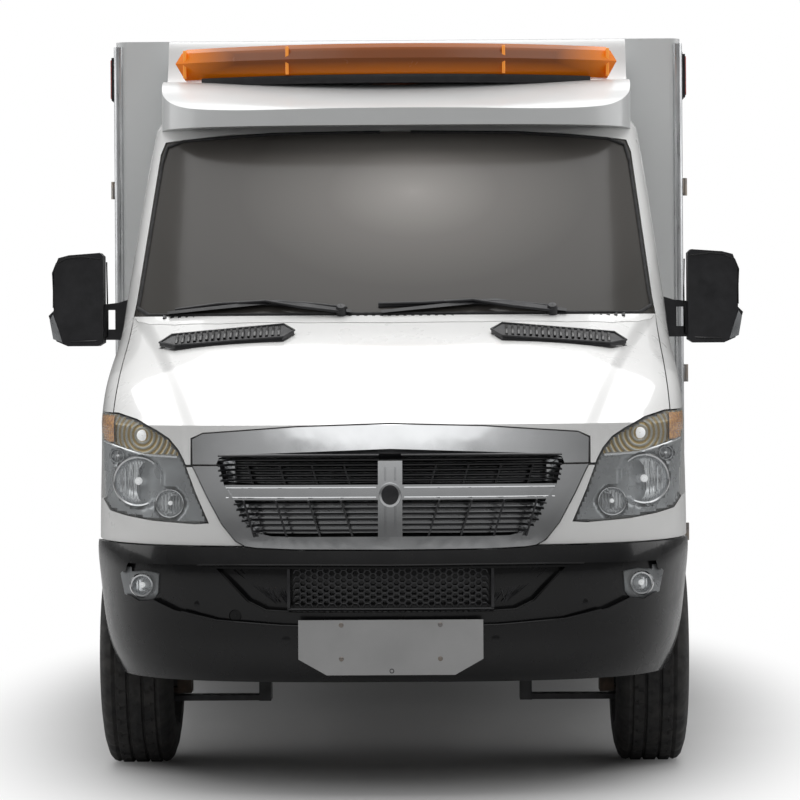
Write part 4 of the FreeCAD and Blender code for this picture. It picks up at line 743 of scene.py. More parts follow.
def fog_lamps():
    """Bowl, rim, bulb and shroud of each fog lamp."""
    cover = Skin("front_lamps")
    for side, sign in SIDES:
        centre = (0.812, 0.664)
        y = cover.from_front(sign * centre[0], centre[1])
        spot = (sign * centre[0], y - 0.001, centre[1])
        bowl = Form().turned([(0.030, 0.0), (0.027, -0.010), (0.018, -0.020), (0.002, -0.024)],
                             (spot[0], spot[1] + 0.014, spot[2]), (0, -1, 0), 28)
        bowl.piece("fog_bowl_" + side, "reflector", "van", "lamp", 40)
        rim = Form().turned([(0.029, -0.004), (0.031, 0.005), (0.036, 0.006), (0.040, -0.004)],
                            (spot[0], spot[1] + 0.004, spot[2]), (0, -1, 0), 28)
        rim.piece("fog_rim_" + side, "chrome", "van", "chrome", 40)
        Form().turned([(0.010, -0.012), (0.008, -0.002), (0.001, 0.001)],
                      (spot[0], spot[1] + 0.010, spot[2]), (0, -1, 0), 16).piece("fog_bulb_" + side, "bulb",
                              "van", "lamp")
        back = Form()
        outline = [(0.752, 0.640), (0.770, 0.620), (0.820, 0.612), (0.872, 0.632), (0.886, 0.700),
                   (0.862, 0.722), (0.790, 0.720), (0.748, 0.706)]
        back.prism([(sign * x, y + 0.034 + 0.35 * (x - centre[0]), z) for x, z in outline], (0, 0.006, 0),
                   0.002)
        back.piece("fog_shroud_" + side, "lamp_shroud", "van", "lamp")


# ---------------------------------------------------------------- bumper
def bumper_dressing():
    """Honeycomb in the lower opening, side lattices, frames, lips, caps and the plate's screws."""
    bumper = Skin("front_bumper")
    comb, lattice, frames = Form(), Form(), Form()
    size = 0.0125
    low_z, high_z, half = 0.604, 0.724, 0.318
    pitch_x, pitch_z = size * 1.5, size * math.sqrt(3)

    def back(x, z):
        """The Y of the wall behind the opening."""
        spot = bumper.from_front(x, z)
        return spot if spot is not None else at(0.06)

    wall = back(0.0, 0.66)

    def surface(x, z):
        return wall + 0.10 * x * x - 0.016

    columns = int(half / pitch_x)
    for i in range(-columns, columns + 1):
        for k in range(int((high_z - low_z) / pitch_z) + 1):
            cx, cz = i * pitch_x, low_z + (k + 0.5 * (i % 2)) * pitch_z
            if cz > high_z:
                continue
            ring = [(cx + size * math.cos(a), cz + size * math.sin(a)) for a in (0, math.pi / 3,
                    2 * math.pi / 3, math.pi)]
            for (x0, z0), (x1, z1) in zip(ring, ring[1:]):
                comb.tube([(x0, surface(x0, z0), z0), (x1, surface(x1, z1), z1)], 0.0019, 4, 1.6)
    comb.piece("bumper_honeycomb", "slat_plastic", "van", "gloss_black")
    for sign in (1, -1):
        for k in range(9):
            x0 = 0.335 + 0.021 * k
            for lean in (-1, 1):
                x1 = x0 + lean * 0.085
                ends = []
                for x, z in ((x0, 0.722), (x1, 0.615)):
                    limit = 0.345 + 1.45 * (z - 0.60)
                    ends.append((sign * min(max(x, 0.330), limit), z))
                if abs(ends[0][0] - ends[1][0]) > 0.02:
                    lattice.tube([(x, wall + 0.16 * x * x - 0.006, z) for x, z in ends], 0.0018, 5)
    lattice.piece("bumper_lattice", "slat_plastic", "van", "gloss_black")
    for sign in (1, -1):
        frames.block((sign * 0.326 - 0.005, wall - 0.022, 0.600),
                     (sign * 0.326 + 0.005, wall + 0.014, 0.727), 0.002)
    path = [(x, wall + 0.10 * x * x - 0.024, 0.598) for x in steps(-0.33, 0.33, 15)]
    frames.tube(path, 0.0065, 10, 0.7)
    frames.piece("bumper_opening_frame", "slat_plastic", "van", "gloss_black")

    lips = Form()
    for line, radius in (
        ([(0.0, 0.739), (0.3, 0.741), (0.50, 0.741), (0.68, 0.738), (0.80, 0.733), (0.87, 0.722)], 0.0030),
        ([(0.0, 0.541), (0.2, 0.543), (0.35, 0.546), (0.56, 0.561), (0.70, 0.591), (0.76, 0.614)], 0.0032),
        ([(0.0, 0.5865), (0.30, 0.5865), (0.40, 0.592), (0.458, 0.620), (0.51, 0.674), (0.556, 0.724)],
         0.0026),
    ):
        for sign in (1, -1):
            spots = []
            for (x0, z0), (x1, z1) in zip(line, line[1:]):
                for k in range(6):
                    x, z = x0 + (x1 - x0) * k / 6, z0 + (z1 - z0) * k / 6
                    y = bumper.from_front(sign * x, z - (0.004 if radius > 0.0031 else -0.004))
                    if y is not None:
                        spots.append((sign * x, y + 0.0005, z))
            steady = [spots[0]]
            for spot in spots[1:]:
                if abs(spot[1] - steady[-1][1]) < 0.012:
                    steady.append(spot)
            lips.tube(steady, radius, 8)
    lips.piece("bumper_lips", "gloss_black", "van", "gloss_black")

    caps = Form()
    for x, z in ((0.62, 0.610), (-0.62, 0.610), (0.335, 0.500), (-0.335, 0.500)):
        y = bumper.from_front(x, z)
        caps.turned([(0.014, -0.001), (0.014, 0.0012), (0.0125, 0.0018), (0.001, 0.0018)], (x, y, z),
                    (0, -1, 0), 24)
    eye = (-0.5, 0.575)
    y = bumper.from_front(eye[0] - 0.028, eye[1])
    caps.turned([(0.0195, 0.004), (0.0195, -0.0005), (0.018, -0.0015), (0.001, -0.0015)],
                (eye[0], y + 0.006, eye[1]), (0, 1, 0), 28)
    caps.piece("bumper_caps", "gloss_black", "van", "gloss_black")

    plate_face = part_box("number_plate")[0].y
    screws = Form()
    for x in (-0.158, 0.158):
        for z in (0.441, 0.549):
            screws.turned([(0.0078, 0.0), (0.0078, 0.0012), (0.0055, 0.0026), (0.001, 0.003)],
                          (x, plate_face, z), (0, -1, 0), 18)
            screws.block((x - 0.0048, plate_face - 0.0034, z - 0.0007),
                         (x + 0.0048, plate_face - 0.0026, z + 0.0007), 0.0003)
    screws.piece("plate_screw_heads", "steel", "van", "steel")
    hole = Form().turned([(0.0075, 0.0008), (0.006, 0.0012), (0.0045, -0.001), (0.001, -0.001)],
                         (0.003, plate_face, 0.402), (0, -1, 0), 18)
    hole.piece("plate_hole", "rubber", "van", "black_plastic")


# ---------------------------------------------------------------- cab glass, wipers, mirrors, trim
def on_screen(skin, x, z, proud):
    """A spot in front of the windscreen's surface."""
    spot = skin.from_front(x, z)
    return (x, (spot if spot is not None else at(1.2)) - proud, z)


def screen_trim():
    """The dark printed border inside the windscreen's edge."""
    screen = Skin("windscreen")
    border = Form()
    low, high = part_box("windscreen")
    ring = [(0.0, low.z + 0.004), (0.45, low.z + 0.004), (0.86, low.z + 0.005), (0.905, low.z + 0.030),
            (0.898, 1.62),
            (0.877, 1.88), (0.858, 2.10), (0.842, 2.165), (0.78, 2.186), (0.45, 2.206),
            (0.0, high.z - 0.004)]
    for sign in (1, -1):
        path = []
        for (x0, z0), (x1, z1) in zip(ring, ring[1:]):
            for k in range(8):
                x, z = x0 + (x1 - x0) * k / 8, z0 + (z1 - z0) * k / 8
                spot = screen.from_front(sign * x, z)
                if spot is not None:
                    path.append((sign * x, spot - 0.0015, z))
        border.tube(path, 0.0065, 8)
    border.piece("screen_seal", "rubber", "van", "black_plastic", 60)


def wipers():
    """Arms, blades and pivots of the parked wipers."""
    screen = Skin("windscreen")
    for name, tip, heel, pivot in (("right", (-0.762, 1.556), (-0.160, 1.560), (-0.42, 1.545)),
                                   ("left", (-0.052, 1.572), (0.565, 1.560), (0.31, 1.545))):
        centre = ((tip[0] + heel[0]) / 2, 1.583)
        blade = Form()
        lift = 0.022
        line = [tip, ((tip[0] + centre[0]) / 2, 1.575), centre, ((heel[0] + centre[0]) / 2, 1.576), heel]
        spots = [on_screen(screen, x, z, 0.006) for x, z in line]
        blade.tube(spots, 0.0038, 8, 2.2)
        spots = [on_screen(screen, x, z + 0.006, lift * (1 - 0.5 * abs(i - 2) / 2)) for i,
                 (x, z) in enumerate(line)]
        blade.tube(spots, 0.0055, 8, 1.2)
        arm = [on_screen(screen, pivot[0] + 0.24, 1.553, 0.034),
               on_screen(screen, pivot[0] + 0.10, 1.570, 0.040),
               on_screen(screen, centre[0] + 0.02, centre[1] + 0.008, 0.030),
               on_screen(screen, centre[0] - 0.08, centre[1] + 0.002, 0.020)]
        blade.tube(arm, 0.0085, 10, 0.7)
        root = on_screen(screen, pivot[0] + 0.24, 1.553, 0.020)
        blade.turned([(0.001, 0.026), (0.014, 0.024), (0.018, 0.012), (0.018, -0.03)], root,
                     (0, -0.55, 0.83), 20)
        blade.piece("wiper_" + name, "black_plastic", "van", "black_plastic", 50)


def cowl():
    """The slats of the air intake under the wipers."""
    shell = Skin("cab_shell")
    grid = Form()
    for k in range(60):
        x = -0.80 + 1.60 * k / 59
        spot = shell.from_above(x, at(0.985 + 0.12 * (abs(x) / 0.8) ** 3))[0]
        if spot is None:
            continue
        grid.block((x - 0.006, spot.y - 0.018, spot.z - 0.002), (x + 0.006, spot.y + 0.018, spot.z + 0.004),
                   0.001,
                   Matrix.Rotation(math.radians(22), 4, "X"))
    grid.piece("cowl_grille", "black_plastic", "van", "black_plastic")


def door_trim():
    """Handles, rubbing strips, window seals and the side repeater lamps."""
    for side, sign in SIDES:
        body = "cab_door_" + side
        door = Skin("door_" + side)
        low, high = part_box("door_" + side)

        def out(y, z, proud=0.0):
            spot = door.hit((sign * 2, y, z), (-sign, 0, 0), 3)[0]
            return (spot.x + sign * proud if spot is not None else sign * 0.98, y, z)

        handle = Form()
        y, z = high.y - 0.115, 1.255
        x = out(y, z)[0]
        handle.block((x - 0.004 if sign > 0 else x - 0.006, y - 0.100, z - 0.030),
                     (x + 0.006 if sign > 0 else x + 0.004, y + 0.040, z + 0.030), 0.004)
        grip = [(x + sign * 0.006, y - 0.085, z + 0.004), (x + sign * 0.034, y - 0.060, z + 0.006),
                (x + sign * 0.038, y - 0.020, z + 0.006), (x + sign * 0.006, y + 0.010, z + 0.004)]
        handle.tube(grip, 0.011, 12)
        handle.turned([(0.011, 0), (0.011, 0.004), (0.001, 0.005)], (x + sign * 0.005, y + 0.026, z),
                      (sign, 0, 0), 20)
        handle.piece("door_handle_" + side, "black_plastic", body, "black_plastic")

        strip = Form()
        path = [out(yy, 0.860, 0.004) for yy in steps(low.y + 0.020, high.y - 0.020, 12)]
        strip.tube(path, 0.012, 10, 3.2)
        strip.piece("door_strip_" + side, "black_plastic", body, "black_plastic", 60)

        glass = Skin("door_glass_" + side)
        g_low, g_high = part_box("door_glass_" + side)
        seal = Form()
        ring = [(g_low.y + 0.012, 1.402), (g_low.y + 0.020, 1.63), (at(1.957), 2.000), (at(2.008), 2.050),
                (g_high.y - 0.045, 2.073),
                (g_high.y - 0.014, 2.046), (g_high.y - 0.014, 1.402), (g_low.y + 0.012, 1.402)]
        spots = []
        for (y0, z0), (y1, z1) in zip(ring, ring[1:]):
            for k in range(6):
                yy, zz = y0 + (y1 - y0) * k / 6, z0 + (z1 - z0) * k / 6
                hit = door.hit((sign * 2, yy, zz), (-sign, 0, 0), 1.5)[0]
                other = glass.hit((sign * 2, yy, zz), (-sign, 0, 0), 1.5)[0]
                near = [p.x * sign for p in (hit, other) if p is not None and p.x * sign > 0.6]
                if near:
                    spots.append((sign * (max(near) - 0.002), yy, zz))
        seal.tube(spots + spots[:1], 0.007, 8)
        seal.piece("door_seal_" + side, "rubber", body, "black_plastic", 60)

        fender = Skin("front_fenders")
        y, z = at(1.30), 1.02
        spot = fender.hit((sign * 2, y, z), (-sign, 0, 0), 2)[0]
        if spot is not None:
            repeater = Form().block((spot.x - 0.004, y - 0.045, z - 0.016),
                                    (spot.x + 0.004, y + 0.045, z + 0.016), 0.0035)
            repeater.piece("side_repeater_" + side, "orange_lens", "van", "amber")


def mirrors():
    """Glass, seams and a signal lamp on each door mirror."""
    for side, sign in SIDES:
        body, node = "cab_door_" + side, "mirror_" + side
        low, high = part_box(node)
        inner = min(abs(low.x), abs(high.x)) + 0.115
        outer = max(abs(low.x), abs(high.x))
        skin = Skin(node)
        glass = Form()
        for z0, z1 in ((1.565, 1.742), (1.462, 1.552)):
            outline = [(inner + 0.008, z0), (outer - 0.036, z0), (outer - 0.028, z0 + 0.02),
                       (outer - 0.030, z1 - 0.018), (outer - 0.05, z1), (inner + 0.008, z1)]
            glass.prism([(sign * x, high.y + 0.0005, z) for x, z in outline], (0, 0.003, 0), 0.001)
        glass.piece("mirror_glass_" + side, "chrome", body, "chrome")
        lamp = Form()
        outline = [(outer - 0.050, 1.449), (outer - 0.016, 1.462), (outer - 0.004, 1.53),
                   (outer - 0.016, 1.552), (outer - 0.034, 1.50)]
        lamp.prism([(sign * x, low.y - 0.003, z) for x, z in outline], (0, 0.030, 0), 0.002)
        lamp.piece("mirror_lamp_" + side, "lamp_shroud", body, "lamp")
        cap = Form()
        edge = [(inner - 0.020, 1.750), (inner + 0.05, 1.758), (outer - 0.065, 1.752),
                (outer - 0.030, 1.735), (outer - 0.016, 1.700), (outer - 0.018, 1.575)]
        path = [(sign * x, (skin.from_front(sign * x, z) or low.y) - 0.0004, z) for x, z in edge]
        cap.tube(path, 0.0035, 6)
        edge = [(inner - 0.042, 1.738), (inner - 0.044, 1.60), (inner - 0.040, 1.47), (inner + 0.0, 1.455),
                (outer - 0.08, 1.452)]
        path = [(sign * x, (skin.from_front(sign * x, z) or low.y) - 0.0004, z) for x, z in edge]
        cap.tube(path, 0.003, 6)
        cap.piece("mirror_seams_" + side, "gloss_black", body, "gloss_black")


# ---------------------------------------------------------------- light bar and roof
def lightbar():
    """The inner modules, bright dividers and feet of the amber bar, and a dark tray under it."""
    low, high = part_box("lightbar")
    bar = Skin("lightbar")
    base, ribs, dividers = Form(), Form(), Form()
    mid = low.z + 0.5 * (high.z - low.z)
    for k in range(45):
        x = low.x + 0.10 + (high.x - low.x - 0.20) * k / 44
        y = bar.from_front(x, mid)
        if y is None or abs(abs(x) - 0.40) < 0.02:
            continue
        deep = 0.055 if abs(x) < 0.40 else 0.040
        ribs.block((x - 0.010, y + deep, low.z + 0.022), (x + 0.010, y + deep + 0.030, high.z - 0.028),
                   0.003)
    ribs.piece("bar_modules", "red_lens", "van", "amber")
    for x in (-0.40, 0.40, low.x + 0.035, high.x - 0.035):
        y = bar.from_front(x, mid)
        if y is not None:
            dividers.block((x - 0.006, y + 0.006, low.z + 0.006), (x + 0.006, y + 0.05, high.z - 0.008),
                           0.002)
    dividers.piece("bar_dividers", "bar_divider", "van", "amber")
    # The dark tray under the bar stands partly for the bar's base and partly for the shadow under it: painted
    # shadow.
    arc = [(x, bar.from_front(x, mid)) for x in steps(low.x + 0.10, high.x - 0.10, 25)]
    tray = [(x, y + 0.022, low.z + 0.003) for x, y in arc] + [(x, y + 0.105, low.z + 0.003) for x,
            y in reversed(arc)]
    base.prism(tray, (0, 0, -0.032), 0.004)
    for x in (-0.62, -0.21, 0.21, 0.62):
        base.block((x - 0.045, at(1.90) + 0.20 * abs(x), low.z - 0.030),
                   (x + 0.045, at(1.99) + 0.20 * abs(x), low.z + 0.004), 0.008)
    base.piece("bar_feet_and_shadow_tray", "black_plastic", "van", "black_plastic")


def roof_details():
    """Seams over the box's roof and a low vent."""
    box_low, box_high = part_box("box_roof")
    seams = Form()
    for y in steps(box_low.y + 0.86, box_high.y - 0.86, 3):
        seams.block((box_low.x + 0.06, y - 0.012, ROOF - 0.001),
                    (box_high.x - 0.06, y + 0.012, ROOF + 0.0035), 0.002)
    seams.piece("roof_seams", "box_grey_and_painted_shade", "van", "white_paint")
    vent = Form()
    y = box_high.y - 1.35
    vent.block((-0.22, y - 0.22, ROOF - 0.001), (0.22, y + 0.22, ROOF + 0.012), 0.005)
    vent.block((-0.19, y - 0.19, ROOF + 0.016), (0.19, y + 0.19, ROOF + 0.060), 0.022)
    vent.block((-0.17, y - 0.17, ROOF + 0.008), (0.17, y + 0.17, ROOF + 0.020), 0.002)
    vent.piece("roof_vent", "box_grey_and_painted_shade", "van", "white_paint")


# ---------------------------------------------------------------- the box body
def sorted_box(first, last):
    """The low and high corners of the block between two opposite spots."""
    return [min(p) for p in zip(first, last)], [max(p) for p in zip(first, last)]


def upright_ring(form, x_span, z_span, place, width, thick, round_to=0.003):
    """A flat frame round an opening; place turns (across, height, out) into a spot."""
    (a0, a1), (z0, z1) = x_span, z_span
    for (la, lz), (ha, hz) in (((a0 - width, z0 - width), (a1 + width, z0)),
                               ((a0 - width, z1), (a1 + width, z1 + width)),
                               ((a0 - width, z0), (a0, z1)), ((a1, z0), (a1 + width, z1))):
        form.block(*sorted_box(place(la, lz, -0.001), place(ha, hz, thick)), round_to)


def box_trim():
    """Corner trims, rails, arch lips, mud flaps and window gaskets of the box."""
    corners, rails, gaskets = Form(), Form(), Form()
    low_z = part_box("box_side_left")[0].z
    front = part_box("box_front_wall")[0].y
    for sign in (1, -1):
        corners.tube([(sign * (SIDE - 0.012), front + 0.012, z) for z in (low_z + 0.02, ROOF - 0.02)],
                     0.019, 14)
        corners.tube([(sign * (SIDE - 0.012), REAR - 0.012, z) for z in (low_z + 0.02, ROOF - 0.02)], 0.019,
                     14)
        rails.block((sign * SIDE - 0.004, front + 0.05, ROOF - 0.062),
                    (sign * SIDE + 0.004, REAR - 0.05, ROOF - 0.026), 0.003)
    corners.piece("box_corner_trims", "aluminium_trim", "van", "silver", 60)
    for sign in (1, -1):
        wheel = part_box("tyre_rear_left" if sign > 0 else "tyre_rear_right")
        middle = (wheel[0].y + wheel[1].y) / 2
        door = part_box("locker_door" if sign > 0 else "side_door")
        for y0, y1 in ((front + 0.05, door[0].y - 0.03), (door[1].y + 0.03, middle - 0.50),
                       (middle + 0.50, REAR - 0.05)):
            rails.block((sign * SIDE - 0.012, y0, low_z + 0.052), (sign * SIDE + 0.012, y1, low_z + 0.110),
                        0.007)
        rub_rail = 1.20
        rails.block((sign * SIDE - 0.003, door[1].y + 0.03, rub_rail),
                    (sign * SIDE + 0.005, REAR - 0.05, rub_rail + 0.036), 0.003)
        arch = Form()
        radius = 0.468
        ring = []
        for k in range(33):
            angle = math.radians(-4 + 188 * k / 32)
            ring.append((sign * (SIDE + 0.002), middle + radius * math.cos(angle),
                         0.387 + radius * math.sin(angle)))
        arch.tube(ring, 0.016, 10, 0.8)
        arch.piece("arch_trim_left" if sign > 0 else "arch_trim_right", "rubber", "van", "black_plastic",
                   60)
        flap = Form().block((sign * 0.86 - 0.13, middle + 0.50, 0.16),
                            (sign * 0.86 + 0.13, middle + 0.508, low_z + 0.03), 0.003)
        flap.piece("mud_flap_left" if sign > 0 else "mud_flap_right", "rubber", "van", "black_plastic")
    rails.piece("box_rails", "aluminium_trim", "van", "silver")
    for sign in (1, -1):
        def place(across, z, out):
            return (sign * (SIDE + out), across, z)
        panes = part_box("box_windows")
        upright_ring(gaskets, (panes[0].y + 0.004, panes[1].y - 0.004),
                     (panes[0].z + 0.004, panes[1].z - 0.004), place, 0.026, 0.006)
        frame_y = (panes[0].y + panes[1].y) / 2
        gaskets.block((sign * (SIDE - 0.006) - 0.006, frame_y - 0.010, panes[0].z),
                      (sign * (SIDE - 0.006) + 0.006, frame_y + 0.010, panes[1].z), 0.002)
    gaskets.piece("window_gaskets", "rubber", "van", "black_plastic")


def box_doors():
    """Frames round the doorways, seals, handles and locks."""
    frames = Form()
    for node, sign in (("locker_door", 1), ("side_door", -1)):
        low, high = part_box(node)
        z0, z1 = low.z, high.z

        def place(across, z, out, sign=sign):
            return (sign * (SIDE + out), across, z)
        y0, y1 = low.y + 0.004, high.y
        for (ya, za), (yb, zb) in (((y0 - 0.040, z0 - 0.042), (y1 + 0.042, z0 - 0.014)),
                                   ((y0 - 0.040, z1 + 0.014), (y1 + 0.042, z1 + 0.042)),
                                   ((y1 + 0.014, z0 - 0.014), (y1 + 0.042, z1 + 0.014))):
            frames.block(*sorted_box(place(ya, za, -0.001), place(yb, zb, 0.006)), 0.003)
        handle = Form()
        y, z = y1 - 0.10, 1.16
        out = sign * SIDE
        handle.block((out - 0.004, y - 0.055, z - 0.075), (out + 0.004, y + 0.055, z + 0.075), 0.003)
        handle.tube([(out + sign * 0.004, y - 0.02, z + 0.045), (out + sign * 0.030, y - 0.02, z + 0.030),
                     (out + sign * 0.030, y - 0.02, z - 0.030), (out + sign * 0.004, y - 0.02, z - 0.045)],
                     0.009, 12)
        handle.turned([(0.012, 0), (0.012, 0.005), (0.001, 0.006)],
                      (out + sign * 0.004, y + 0.03, z - 0.045), (sign, 0, 0), 20)
        handle.piece(node + "_handle", "chrome", node, "chrome")
        if node == "side_door":
            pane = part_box("side_door_glass")
            ring = Form()
            upright_ring(ring, (pane[0].y + 0.004, pane[1].y - 0.004),
                         (pane[0].z + 0.004, pane[1].z - 0.004), place, 0.022, 0.005)
            ring.piece("side_door_gasket", "rubber", node, "black_plastic")
        kick = Form().block((sign * (SIDE + 0.001) - 0.002, y0 + 0.10, z0 + 0.02),
                            (sign * (SIDE + 0.001) + 0.002, y1 - 0.03, z0 + 0.22), 0.001)
        kick.piece(node + "_kick_plate", "tread_plate", node, "tread_plate")
        leaves = Form()
        for z in HINGE_HEIGHTS:
            out = sign * (SIDE + 0.004)
            leaf = ((out, low.y - 0.056, z + 0.004), (out + sign * 0.014, low.y - 0.010, z + 0.060))
            leaves.block(*sorted_box(*leaf), 0.004)
            leaves.tube([(out + sign * 0.016, low.y - 0.012, z - 0.002 + k) for k in (0.0, 0.068)], 0.013,
                        16)
        leaves.piece(node + "_hinge_leaves", "steel", "van", "steel")
    frames.piece("doorway_frames", "aluminium_trim", "van", "silver")
    for side, sign in SIDES:
        node = "rear_door_" + side
        low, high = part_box(node)
        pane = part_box("rear_glass_" + side)

        def behind(across, z, out):
            return (across, REAR + out, z)
        ring = Form()
        upright_ring(ring, (pane[0].x + 0.004, pane[1].x - 0.004), (pane[0].z + 0.004, pane[1].z - 0.004),
                     behind, 0.022, 0.005)
        ring.piece(node + "_gasket", "rubber", node, "black_plastic")
        edge = sign * 0.062
        lock = Form()
        lock.tube([(edge, REAR + 0.017, z) for z in (low.z + 0.05, high.z - 0.05)], 0.009, 12)
        for z in (low.z + 0.12, 1.10, 1.70, high.z - 0.12):
            lock.block((edge - 0.022, REAR - 0.001, z - 0.028), (edge + 0.022, REAR + 0.022, z + 0.028),
                       0.006)
        lock.block((min(edge, edge + sign * 0.14), REAR + 0.020, 1.235),
                   (max(edge, edge + sign * 0.14), REAR + 0.034, 1.262), 0.005)
        lock.piece(node + "_lock_bar", "chrome", node, "chrome")
        grab = Form().tube([(sign * 0.52, REAR + 0.002, 1.30), (sign * 0.52, REAR + 0.045, 1.33),
                            (sign * 0.52, REAR + 0.045, 1.57), (sign * 0.52, REAR + 0.002, 1.60)], 0.011,
                            12)
        grab.piece(node + "_grab_rail", "steel", node, "steel", 60)
        kick = Form().block((min(sign * 0.02, sign * 0.60), REAR, low.z + 0.02),
                            (max(sign * 0.02, sign * 0.60), REAR + 0.002, low.z + 0.28), 0.0008)
        kick.piece(node + "_kick_plate", "tread_plate", node, "tread_plate")


def box_lamps():
    """Bezels and coloured lenses over the lamp housings of the box."""
    tree = bmesh.new()
    tree.from_mesh(NODES["box_lamps"].data)
    bmesh.ops.remove_doubles(tree, verts=tree.verts, dist=1e-5)
    tree.verts.ensure_lookup_table()
    seen = set()
    islands = []
    for v in tree.verts:
        if v.index in seen:
            continue
        group, queue = [], [v]
        seen.add(v.index)
        while queue:
            w = queue.pop()
            group.append(w.co.copy())
            for e in w.link_edges:
                o = e.other_vert(w)
                if o.index not in seen:
                    seen.add(o.index)
                    queue.append(o)
        islands.append(group)
    tree.free()
    bezels = Form()
    lenses = {"red_lens": Form(), "orange_lens": Form(), "bulb": Form()}
    for group in islands:
        low = Vector([min(p[i] for p in group) for i in range(3)])
        high = Vector([max(p[i] for p in group) for i in range(3)])
        behind = low.y > REAR - 0.01
        if behind:
            bezels.block((low.x - 0.010, low.y - 0.001, low.z - 0.010),
                         (high.x + 0.010, high.y - 0.010, high.z + 0.010), 0.005)
            if high.z < 1.5:
                third = (high.z - low.z) / 3
                for k, look in enumerate(("bulb", "orange_lens", "red_lens")):
                    lenses[look].block((low.x + 0.004, high.y - 0.010, low.z + k * third + 0.004),
                                       (high.x - 0.004, high.y + 0.004, low.z + (k + 1) * third - 0.004),
                                       0.006)
            else:
                lenses["red_lens"].block((low.x + 0.006, high.y - 0.010, low.z + 0.006),
                                         (high.x - 0.006, high.y + 0.005, high.z - 0.006), 0.008)
        else:
            sign = 1 if low.x > 0 else -1
            inner, outer = (low.x, high.x) if sign > 0 else (high.x, low.x)
            x0, x1 = sorted((inner, outer - sign * 0.010))
            bezels.block((x0, low.y - 0.010, low.z - 0.010), (x1, high.y + 0.010, high.z + 0.010), 0.005)
            x0, x1 = sorted((outer - sign * 0.008, outer + sign * 0.005))
            lenses["red_lens"].block((x0, low.y + 0.006, low.z + 0.006),
                                     (x1, high.y - 0.006, high.z - 0.006), 0.007)
    bezels.piece("lamp_bezels", "black_plastic", "van", "black_plastic")
    for look, form in lenses.items():
        form.piece("box_" + look, look, "van",
                   "red_lamp" if look == "red_lens" else "amber" if look == "orange_lens" else "lamp")


# ---------------------------------------------------------------- wheels
TREAD_GROOVES = (-0.072, -0.026, 0.026, 0.072)


def tyre_profile(half, tread, bead):
    """(across, radius) points of one tyre's outside, from bead to bead."""
    side = [(-0.075, bead + 0.001), (-0.082, bead + 0.012), (-0.094, bead + 0.032),
            (-half + 0.004, bead + 0.062), (-half, bead + 0.092),
            (-half + 0.006, bead + 0.128), (-half + 0.018, tread - 0.020), (-half + 0.030, tread - 0.007),
            (-half + 0.044, tread - 0.002)]
    crown = [(x, tread) for x in steps(-half + 0.056, half - 0.056, 31)]
    return side + crown + [(-x, r) for x, r in reversed(side)]


def tyre(name, node, body, axle, offsets):
    """A tyre with four round grooves, cut blocks, a ribbed shoulder and a raised ring on its wall."""
    low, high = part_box(node)
    tread = (high.z - low.z) / 2
    form = Form()
    for offset in offsets:
        half = 0.124
        bead = 0.203
        profile = tyre_profile(half, tread, bead)
        count = 240
        spots = []
        for i in range(count):
            angle = 2 * math.pi * i / count
            for x, radius in profile:
                r = radius
                if abs(x) < half - 0.050:
                    if min(abs(x - g) for g in TREAD_GROOVES) < 0.0046:
                        r -= 0.0085
                    elif abs(x) > 0.030 and (i + int(40 * abs(x))) % 6 == 0:
                        r -= 0.006
                    elif abs(x) <= 0.022 and i % 8 == (0 if x > 0 else 4) and abs(x) > 0.006:
                        r -= 0.004
                elif radius > tread - 0.021 and i % 6 in (0, 1):
                    r -= 0.004
                elif abs(radius - (bead + 0.128)) < 0.001:
                    r += 0.0005
                spots.append((axle.x + offset + x, axle.y + r * math.cos(angle),
                              axle.z + r * math.sin(angle)))
        n = len(profile)
        quads = []
        for i in range(count):
            j = (i + 1) % count
            quads += [(i * n + k, j * n + k, j * n + (k + 1) % n, i * n + (k + 1) % n) for k in range(n)]
        form.faces(spots, quads)
    made = form.piece(name, "tyre", body, "tyre", 30)
    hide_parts(node)


def wheels():
    """Treaded tyres, nuts and hub caps on each wheel body."""
    places = {j["child"]: Vector(j["pos_m"]) for j in frame["joints"] if j["name"].startswith("roll_")}
    for body, axle in places.items():
        twin = body.startswith("wheels_rear")
        where = body.split("_", 1)[1]
        node = "tyre_" + where
        low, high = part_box(node)
        span = high.x - low.x
        offsets = (-(span / 2 - 0.124), span / 2 - 0.124) if twin else (0.0,)
        tyre(node + "_treaded", node, body, axle, offsets)
        sign = 1 if axle.x > 0 else -1
        rim = Skin("rim_" + where)
        nuts, cap = Form(), Form()
        for k in range(6):
            angle = math.radians(60 * k + 30)
            y, z = axle.y + 0.083 * math.cos(angle), axle.z + 0.083 * math.sin(angle)
            spot = rim.hit((axle.x + sign * 1.0, y, z), (-sign, 0, 0), 2.0)[0]
            if spot is not None:
                nuts.turned([(0.016, -0.002), (0.016, 0.006), (0.0125, 0.008), (0.0125, 0.024),
                             (0.008, 0.028), (0.001, 0.029)], spot, (sign, 0, 0), 6)
        nuts.piece("wheel_nuts_" + where, "steel", body, "steel")
        face = rim.hit((axle.x + sign * 1.0, axle.y + 0.045, axle.z), (-sign, 0, 0), 2.0)[0]
        cap.turned([(0.054, -0.030), (0.055, 0.004), (0.048, 0.014), (0.020, 0.020), (0.001, 0.021)],
                   (face.x, axle.y, axle.z), (sign, 0, 0), 32)
        cap.piece("hub_cap_" + where, "wheel_silver", body, "wheel_silver", 40)


